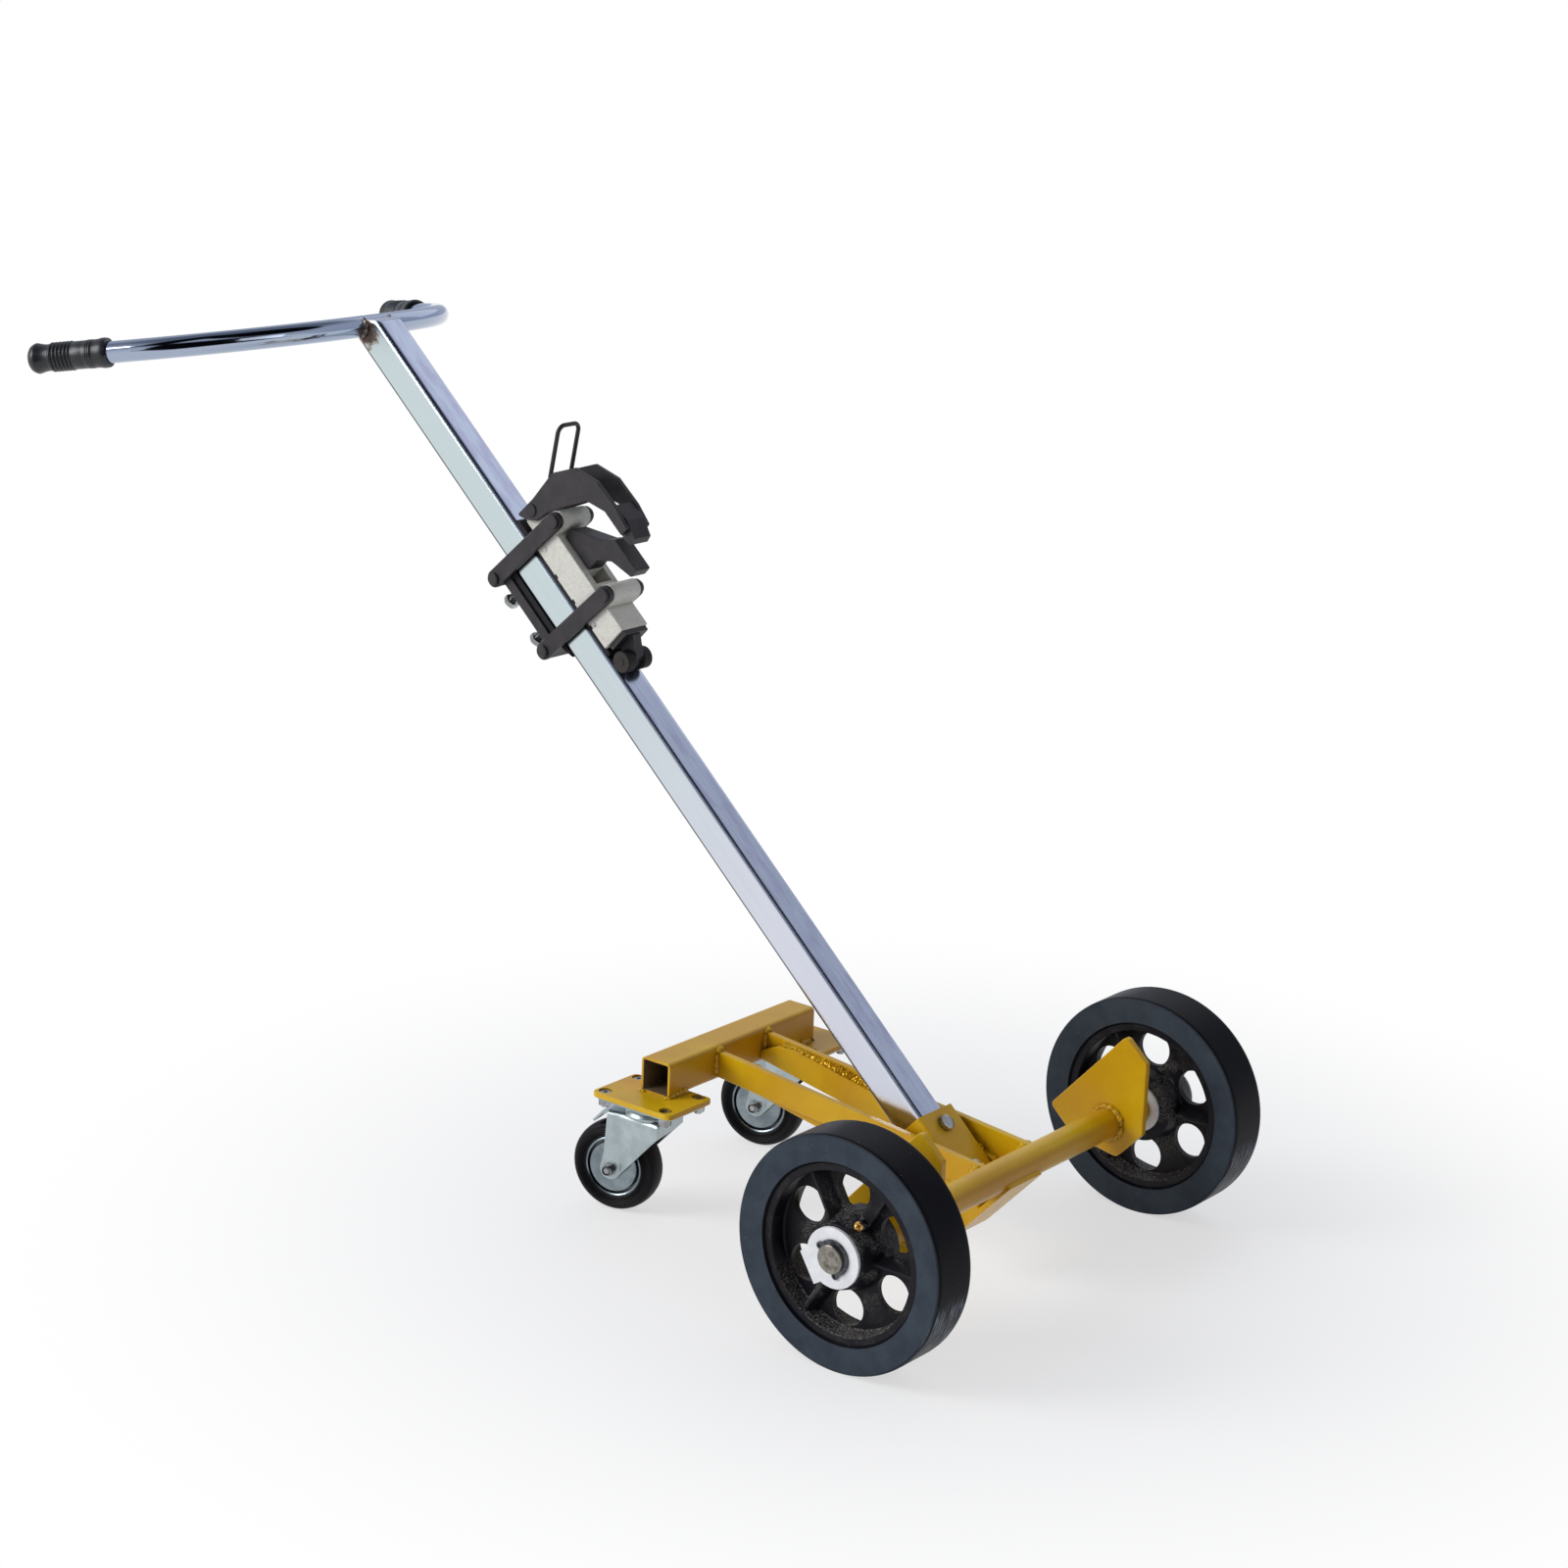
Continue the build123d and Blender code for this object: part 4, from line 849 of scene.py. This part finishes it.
print("dressed", len(dressed), "of", len(nodes), "solids; bare:", sorted(set(nodes) - dressed))

# %% [markdown]
# ## Rings joined into a mesh
# Weld metal, bolts and grips have one thing in common: each is a row of closed rings along a line, with a
# cap at both ends. A builder that joins every ring to the next covers them all, and several rows can share
# one mesh, as the two adjusters and their lock nuts do.

# %% The ring builder


class Rings:
    """A mesh made of rows of rings."""

    def __init__(self):
        self.points = []
        self.faces = []

    def row(self, rings):
        """Join closed rings of equal length one after another and cap both ends."""
        count = len(rings[0])
        first = len(self.points)
        for ring in rings:
            self.points += [tuple(point) for point in ring]
        for start in range(first, len(self.points) - count, count):
            for i in range(count):
                j = (i + 1) % count
                self.faces.append((start + i, start + j, start + count + j, start + count + i))
        self.faces.append(tuple(range(first, first + count)))
        self.faces.append(tuple(range(len(self.points) - count, len(self.points))))

    def piece(self, name, finish, body, sharp=38.0):
        """The finished object, riding its body."""
        mesh = bpy.data.meshes.new(name)
        mesh.from_pydata(self.points, [], self.faces)
        mesh.materials.append(finish)
        work = bmesh.new()
        work.from_mesh(mesh)
        bmesh.ops.recalc_face_normals(work, faces=work.faces)
        work.to_mesh(mesh)
        work.free()
        mesh.shade_smooth()
        mesh.set_sharp_from_angle(angle=math.radians(sharp))
        made = bpy.data.objects.new(name, mesh)
        bpy.context.collection.objects.link(made)
        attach(made, body)
        print(name, len(self.points), "points on", body)
        return made


# %% [markdown]
# ## Weld metal
# The base is welded by hand: a row of small overlapping pools, thick where the torch waited and thin where
# it hurried, painted over with the rest. A bead fills the corner between two faces, so each station of it
# needs the corner's point and the two directions that lead away from it along the faces. The section is a
# quarter round between them, its size follows the pools and a slow noise, and a fine noise gives it grit.
# Spatter is a row of rings too, a flat dome on a face.

# %% Stations along a corner
UP = Vector((0, 0, 1))
AHEAD = Vector((1, 0, 0))
WELD_STEP = 0.9 * MM


def straight_corner(start, end, away_a, away_b):
    """Stations along a straight corner between two faces."""
    count = max(8, round((end - start).length / WELD_STEP))
    return [(start.lerp(end, k / count), away_a, away_b) for k in range(count + 1)]


def round_corner(centre, across, up, along, radius, first, last):
    """Stations round a tube standing out of a face, from one angle to another, in degrees."""
    count = max(8, round(radius * math.radians(last - first) / WELD_STEP))
    stations = []
    for k in range(count + 1):
        turn = math.radians(first + (last - first) * k / count)
        out = across * math.cos(turn) + up * math.sin(turn)
        stations.append((centre + out * radius, out, along))
    return stations


# %% A weld bead and a drop of spatter
POOL = 7.5 * MM
SECTION = [math.radians(turn) for turn in range(-12, 103, 19)]
WANDER_SCALE = 90
GRIT_SCALE = 420
DROP_LEANS = [math.radians(lean) for lean in (-20, 10, 40, 65, 82)]
DROP_STEPS = 10
WELD_SHARP = 70.0


def lay_bead(rings, stations, size, seed, pool_long=POOL, rough=0.3):
    """A row of pools along the stations, running out at both ends."""
    walked = [0.0]
    for (here, _, _), (there, _, _) in zip(stations, stations[1:]):
        walked.append(walked[-1] + (there - here).length)
    row = []
    for (spot, away_a, away_b), distance in zip(stations, walked):
        from_end = min(distance, walked[-1] - distance)
        run_out = math.sqrt(min(1.0, 0.05 + from_end / size))
        wander = noise.noise(Vector((distance * WANDER_SCALE, seed * 5.3, 0.5)))
        pool = abs(math.sin(math.pi * (distance / pool_long + seed * 0.37 + 1.7 * rough * wander)))
        reach = size * run_out * (0.68 + 0.32 * math.sqrt(pool) + 0.3 * wander)
        ring = []
        for turn in SECTION:
            out = (away_a * math.cos(turn) + away_b * math.sin(turn)) * reach
            grit = 1 + rough * noise.noise((spot + out) * GRIT_SCALE)
            ring.append(spot + out * grit)
        row.append(ring + [spot - (away_a + away_b) * (0.2 * reach)])
    rings.row(row)


def lay_drop(rings, spot, out, size):
    """A drop of spatter on a face that looks along out."""
    across = out.cross(UP).normalized()
    row = []
    for lean in DROP_LEANS:
        wide, high = size * math.cos(lean), size * 0.8 * math.sin(lean)
        ring = []
        for k in range(DROP_STEPS):
            turn = 2 * math.pi * k / DROP_STEPS
            ring.append(spot + out * high + (across * math.cos(turn) + UP * math.sin(turn)) * wide)
        row.append(ring)
    rings.row(row)


# %% [markdown]
# ## The base's welds
# Every bead here has its work to do: the braces are lapped on the side bars and stitched along their top
# edge, the bars stand on the cross tube, the tube lies on the caster plates, and the axle tube passes
# through the bars and the two lugs. Each kind of bead has its own function for one side, and the other side
# is the same with y turned round. The stitch is rough and its paint glitters, so it is a piece of its own;
# it stays lower than the bar beside it, and so does its spatter.

# %% The stitch along a brace
CROSS_FRONT = CROSS_X + 20.0
BAR_TOP = 175.0
BAR_FALL = 35.0 / 365.0
BAR_IN = 39
BAR_OUT = 47
BRACE_TOP = 175.0
BRACE_FALL = math.tan(math.radians(10.3))
BRACE_CUT_MID = 22.0
BRACE_CUT_LONG = 45.0
BRACE_CUT_DROP = 6.0
STITCH_SPAN = (-341, -62)
STITCH_SIZE = 5.6 * MM
STITCH_POOL = 3.6 * MM
STITCH_ROUGH = 0.6
STITCH_ROOM = 8.5
SPATTER_COUNT = 84
SPATTER_SPAN = (-335, -75)
SPATTER_HIGH = 13.0
SPATTER_SIZE = (0.5, 1.5)
chance = random.Random(11)


def brace_edge(x):
    """Height of the brace's top edge, which is cut away a little close to the cross tube."""
    along = x - CROSS_FRONT
    left = max(0.0, (BRACE_CUT_LONG - along) / (BRACE_CUT_LONG - BRACE_CUT_MID))
    return BRACE_TOP - along * BRACE_FALL - BRACE_CUT_DROP * left


def bar_above(x):
    """How far the side bar stands above the brace's top edge."""
    return BAR_TOP - (x - CROSS_FRONT) * BAR_FALL - brace_edge(x)


def brace_stitch(side):
    """Stations along the brace's top edge, lower where the bar beside it stands only a little higher."""
    first, last = STITCH_SPAN
    stations = []
    count = round((last - first) * MM / WELD_STEP)
    for k in range(count + 1):
        x = first + (last - first) * k / count
        rise = min(1.0, bar_above(x) / STITCH_ROOM)
        stations.append((on_base(x, side * BAR_IN, brace_edge(x)), SIDE * -side, UP * rise))
    return stations


def brace_welds(rings, side):
    lay_bead(rings, brace_stitch(side), STITCH_SIZE, 1 + side, STITCH_POOL, STITCH_ROUGH)
    for k in range(SPATTER_COUNT):
        x = chance.uniform(*SPATTER_SPAN)
        rise = chance.uniform(0.35, 0.9) * min(SPATTER_HIGH, bar_above(x) - 1.6)
        spot = on_base(x, side * BAR_IN, brace_edge(x) + rise)
        lay_drop(rings, spot, SIDE * -side, chance.uniform(*SPATTER_SIZE) * MM)


# %% The other beads of the base
AXLE_HIGH = 125
AXLE_TUBE_R = 17.0
BAR_BEAD_FOOT = 148
BAR_BEAD = 4.2 * MM
BAR_TOP_BEAD = 5.0 * MM
BAR_RING = 4.5 * MM
BAR_RING_SPAN = (118, 242)
PLATE_TOP = 141.0
PLATE_SPAN = (127, 94)
PLATE_BEAD = 6.2 * MM
CROSS_CORNER = 17.5
CROSS_END = 128
CORNER_BEAD = 4.0 * MM
LUG_IN = 186
LUG_OUT = 194
LUG_RING = 5.0 * MM


def bar_welds(rings, side):
    """The side bar's beads on the cross tube and round the axle tube."""
    out = SIDE * side
    for y, away, seed in ((BAR_OUT, out, 3), (BAR_IN, -out, 4)):
        foot = on_base(CROSS_FRONT, side * y, BAR_BEAD_FOOT)
        head = on_base(CROSS_FRONT, side * y, BAR_TOP - 1)
        lay_bead(rings, straight_corner(foot, head, AHEAD, away), BAR_BEAD, seed + side)
        centre = on_base(0, side * y, AXLE_HIGH)
        ring = round_corner(centre, AHEAD, UP, away, AXLE_TUBE_R * MM, *BAR_RING_SPAN)
        lay_bead(rings, ring, BAR_RING, seed + 3 + side)
    start = on_base(CROSS_FRONT, side * (BAR_IN - 2.5), BAR_TOP)
    end = on_base(CROSS_FRONT, side * (BAR_OUT + 2.5), BAR_TOP)
    lay_bead(rings, straight_corner(start, end, AHEAD, UP), BAR_TOP_BEAD, 9 + side)


def plate_welds(rings, side):
    """The cross tube's beads on the caster plate, along both sides and round the end's corners."""
    for way in (-1, 1):
        x = CROSS_X + way * CROSS_CORNER
        start, end = [on_base(x, side * y, PLATE_TOP) for y in PLATE_SPAN]
        lay_bead(rings, straight_corner(start, end, AHEAD * way, UP), PLATE_BEAD, 11 + way + side)
        start = on_base(x - 4 * way, side * CROSS_END, PLATE_TOP)
        end = on_base(x + 4.5 * way, side * CROSS_END, PLATE_TOP)
        lay_bead(rings, straight_corner(start, end, SIDE * side, UP), CORNER_BEAD, 14 + way + side)


def lug_welds(rings, side):
    """The lug's beads round the axle tube, on both faces."""
    out = SIDE * side
    for y, away, seed in ((LUG_OUT, out, 17), (LUG_IN, -out, 19)):
        ring = round_corner(on_base(0, side * y, AXLE_HIGH), AHEAD, UP, away, AXLE_TUBE_R * MM, 0, 360)
        lay_bead(rings, ring, LUG_RING, seed + side)


base_welds = Rings()
stitches = Rings()
for side in (-1, 1):
    bar_welds(base_welds, side)
    plate_welds(base_welds, side)
    lug_welds(base_welds, side)
    brace_welds(stitches, side)
base_welds.piece("base_welds", GOLD, "frame", WELD_SHARP)
stitches.piece("brace_stitches", WELD_GOLD, "frame", WELD_SHARP)

# %% [markdown]
# ## The handle's welds
# The mast's coped top is welded to the handle on both sides of the tube. The bead is small, and the heat has
# left it brown and grey, so it gets its own finish and no paint.

# %% Welds of the handle
MAST_HALF = 20.0
HANDLE_R = 12.5
HANDLE_BEAD = 3.0 * MM
HANDLE_BEAD_SPAN = (232, 372)
handle_welds = Rings()
for side in (-1, 1):
    centre = on_mast(HANDLE_N, side * MAST_HALF, HANDLE_S)
    ring = round_corner(centre, OFF_MAST, UP_MAST, SIDE * side, HANDLE_R * MM, *HANDLE_BEAD_SPAN)
    lay_bead(handle_welds, ring, HANDLE_BEAD, 23 + side)
handle_welds.piece("handle_welds", BURNT_WELD, "frame", WELD_SHARP)

# %% [markdown]
# ## Bolts and nuts
# A hexagon that has been through a factory is never a plain prism: its corners are turned off at thirty
# degrees, which leaves the curved facets one knows from every bolt head. A rod with a thread is a row of
# rings whose radius follows a helix. Both are lathe work, so one function turns a profile whose radius and
# height may depend on the angle.

# %% Lathe work
TURN_STEPS = 48
TURNED_OFF = math.tan(math.radians(30))
RINGS_PER_PITCH = 8


def turn_on_lathe(rings, foot, axis, profile):
    """A row of rings round an axis; each entry gives radius and height, in millimetres, for an angle."""
    across = SIDE if abs(axis.dot(SIDE)) < 0.9 else AHEAD
    across = (across - axis * across.dot(axis)).normalized()
    up = axis.cross(across)
    row = []
    for entry in profile:
        ring = []
        for k in range(TURN_STEPS):
            turn = 2 * math.pi * k / TURN_STEPS
            radius, height = entry(turn)
            out = across * math.cos(turn) + up * math.sin(turn)
            ring.append(foot + (out * radius + axis * height) * MM)
        row.append(ring)
    rings.row(row)


def circle(radius, height):
    return lambda turn: (radius, height)


def hexagon(flats, height, turned_off=0):
    """A hexagon's edge; turned_off 1 lowers its corners, -1 raises them."""
    inside = flats / 2

    def edge(turn):
        from_flat = (turn % (math.pi / 3)) - math.pi / 6
        radius = inside / math.cos(from_flat)
        return radius, height - turned_off * (radius - inside * 0.96) * TURNED_OFF

    return edge


def thread(radius, pitch, first, last):
    """Rings of a right-hand thread between two heights, chamfered at the last one."""
    steps = round(abs(last - first) / pitch * RINGS_PER_PITCH)
    rows = []
    for k in range(steps + 1):
        height = first + (last - first) * k / steps
        from_end = abs(last - height)

        def groove(turn, height=height, from_end=from_end):
            phase = (height / pitch - turn / (2 * math.pi)) % 1.0
            depth = 0.55 * pitch * (1 - abs(2 * phase - 1))
            return min(radius - depth, radius - 0.9 + from_end), height

        rows.append(groove)
    return rows


# %% A bolt and a nut
HEX_FLATS = 16.0
HEX_FACE_R = HEX_FLATS * 0.44
HEAD_HIGH = 6.4
NUT_HIGH = 8.0
SHANK_R = 5.0
PITCH = 1.5


def hex_bolt(rings, seat, axis, shank, plain):
    """A bolt whose head sits on the seat, axis towards its tip."""
    profile = [circle(HEX_FACE_R, -HEAD_HIGH), hexagon(HEX_FLATS, -HEAD_HIGH, -1)]
    profile += [hexagon(HEX_FLATS, 0), circle(SHANK_R, 0), circle(SHANK_R, plain)]
    turn_on_lathe(rings, seat, axis, profile + thread(SHANK_R, PITCH, plain + 0.2, shank))


def hex_nut(rings, seat, axis):
    """A nut standing on the seat, its far corners and its near ones turned off."""
    profile = [circle(HEX_FACE_R, 0), hexagon(HEX_FLATS, 0, -1), hexagon(HEX_FLATS, NUT_HIGH, 1)]
    profile += [circle(HEX_FACE_R, NUT_HIGH), circle(SHANK_R + 0.1, NUT_HIGH - 0.8)]
    turn_on_lathe(rings, seat, axis, profile)


# %% The clamp's adjusters
ADJUSTER_S = (794, 739)
ADJUSTER_SEAT = -62.6
ADJUSTER_LONG = 34.6
LOCK_NUT_SEAT = -42
adjusters = Rings()
for s in ADJUSTER_S:
    hex_bolt(adjusters, on_mast(ADJUSTER_SEAT, 0, s), OFF_MAST, ADJUSTER_LONG, 0.4)
    hex_nut(adjusters, on_mast(LOCK_NUT_SEAT, 0, s), -OFF_MAST)
made = adjusters.piece("turned_adjusters", BOLT_ZINC, "back_jaw")
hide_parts("adjusters")

# %% The mast's socket bolts
SOCKET_BOLT_S = (-45, 12)
SOCKET_HALF = 26
SOCKET_BOLT_LONG = 63.0
SOCKET_BOLT_PLAIN = 40.0
socket_bolts = Rings()
for s in SOCKET_BOLT_S:
    hex_bolt(socket_bolts, on_mast(SOCKET_HALF, 0, s), -OFF_MAST, SOCKET_BOLT_LONG, SOCKET_BOLT_PLAIN)
    hex_nut(socket_bolts, on_mast(-SOCKET_HALF, 0, s), -OFF_MAST)
made = socket_bolts.piece("turned_socket_bolts", BOLT_ZINC, "frame")
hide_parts("socket_bolts")

# %% [markdown]
# ## Grips
# A grip is moulded over a mandrel and pushed on: a thick lip at the open end, a smooth sleeve with three
# fine lines, six ribs for the fingers, a neck and a flared end with a domed cap. That is lathe work again,
# closed inside by the bore that the handle fills. A profile of radius and height, in millimetres, says it
# all, and lines and ribs repeat one short profile at several heights.

# %% The grip's profile
GRIP_BORE = [(12.55, 90), (12.55, 0.5), (13.2, 0)]
GRIP_LIP = [(16.4, 0), (16.9, 1.5), (17.35, 4.5), (17.2, 7.5), (16.5, 11), (16.2, 15)]
GRIP_LINE = [(16.15, 0), (16.5, 0.5), (16.5, 1.1), (16.15, 1.6)]
LINE_HEIGHTS = (18.0, 20.4, 22.8)
GRIP_SLEEVE = [(16.1, 30), (16.0, 42)]
GRIP_RIB = [(15.4, 0), (16.5, 0.6), (16.95, 1.6), (16.9, 2.4), (16.4, 3.2), (15.4, 3.8)]
RIB_COUNT = 6
RIB_FIRST = 43.0
RIB_PITCH = 4.6
GRIP_NECK = [(15.3, 72), (15.2, 75), (15.4, 78), (16.0, 81), (16.8, 84.4), (17.4, 86.4), (17.5, 87.6)]
GRIP_CAP = [(17.2, 88.6), (16.6, 90.5), (14.9, 93.4), (11.8, 95.8), (7.5, 97.3), (3, 97.9), (0.6, 98)]


def raised(profile, height):
    return [(radius, z + height) for radius, z in profile]


def grip_profile():
    profile = GRIP_BORE + GRIP_LIP
    for height in LINE_HEIGHTS:
        profile += raised(GRIP_LINE, height)
    profile += GRIP_SLEEVE
    for rib in range(RIB_COUNT):
        profile += raised(GRIP_RIB, RIB_FIRST + RIB_PITCH * rib)
    return profile + GRIP_NECK + GRIP_CAP


print(len(grip_profile()), "points in the grip's profile")

# %% [markdown]
# The grip starts where the arm is bare no longer. The handle's centre line is a short straight at the mast,
# a wide bend and an arm, all in one plane that falls a little towards the back, so the arm's direction and
# the grip's foot follow from the bend's radius and angle.

# %% Grips on the arms
HANDLE_FALL = math.radians(9.7)
BOW_STRAIGHT = 12.0
BOW_R = 246.0
BOW_TURN = math.radians(65.0)
ARM = 31.0
BACKWARD = Vector((-math.cos(HANDLE_FALL), 0, -math.sin(HANDLE_FALL)))

for side, letter in ((-1, "r"), (1, "l")):
    out = SIDE * side
    along = out * math.cos(BOW_TURN) + BACKWARD * math.sin(BOW_TURN)
    foot = on_mast(HANDLE_N, 0, HANDLE_S)
    foot += (out * (BOW_STRAIGHT + BOW_R * math.sin(BOW_TURN))) * MM
    foot += (BACKWARD * (BOW_R * (1 - math.cos(BOW_TURN))) + along * ARM) * MM
    sleeve = Rings()
    turn_on_lathe(sleeve, foot, along, [circle(radius, height) for radius, height in grip_profile()])
    made = sleeve.piece("moulded_grip_" + letter, GRIP, "frame", 60.0)
    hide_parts("grip_" + letter)
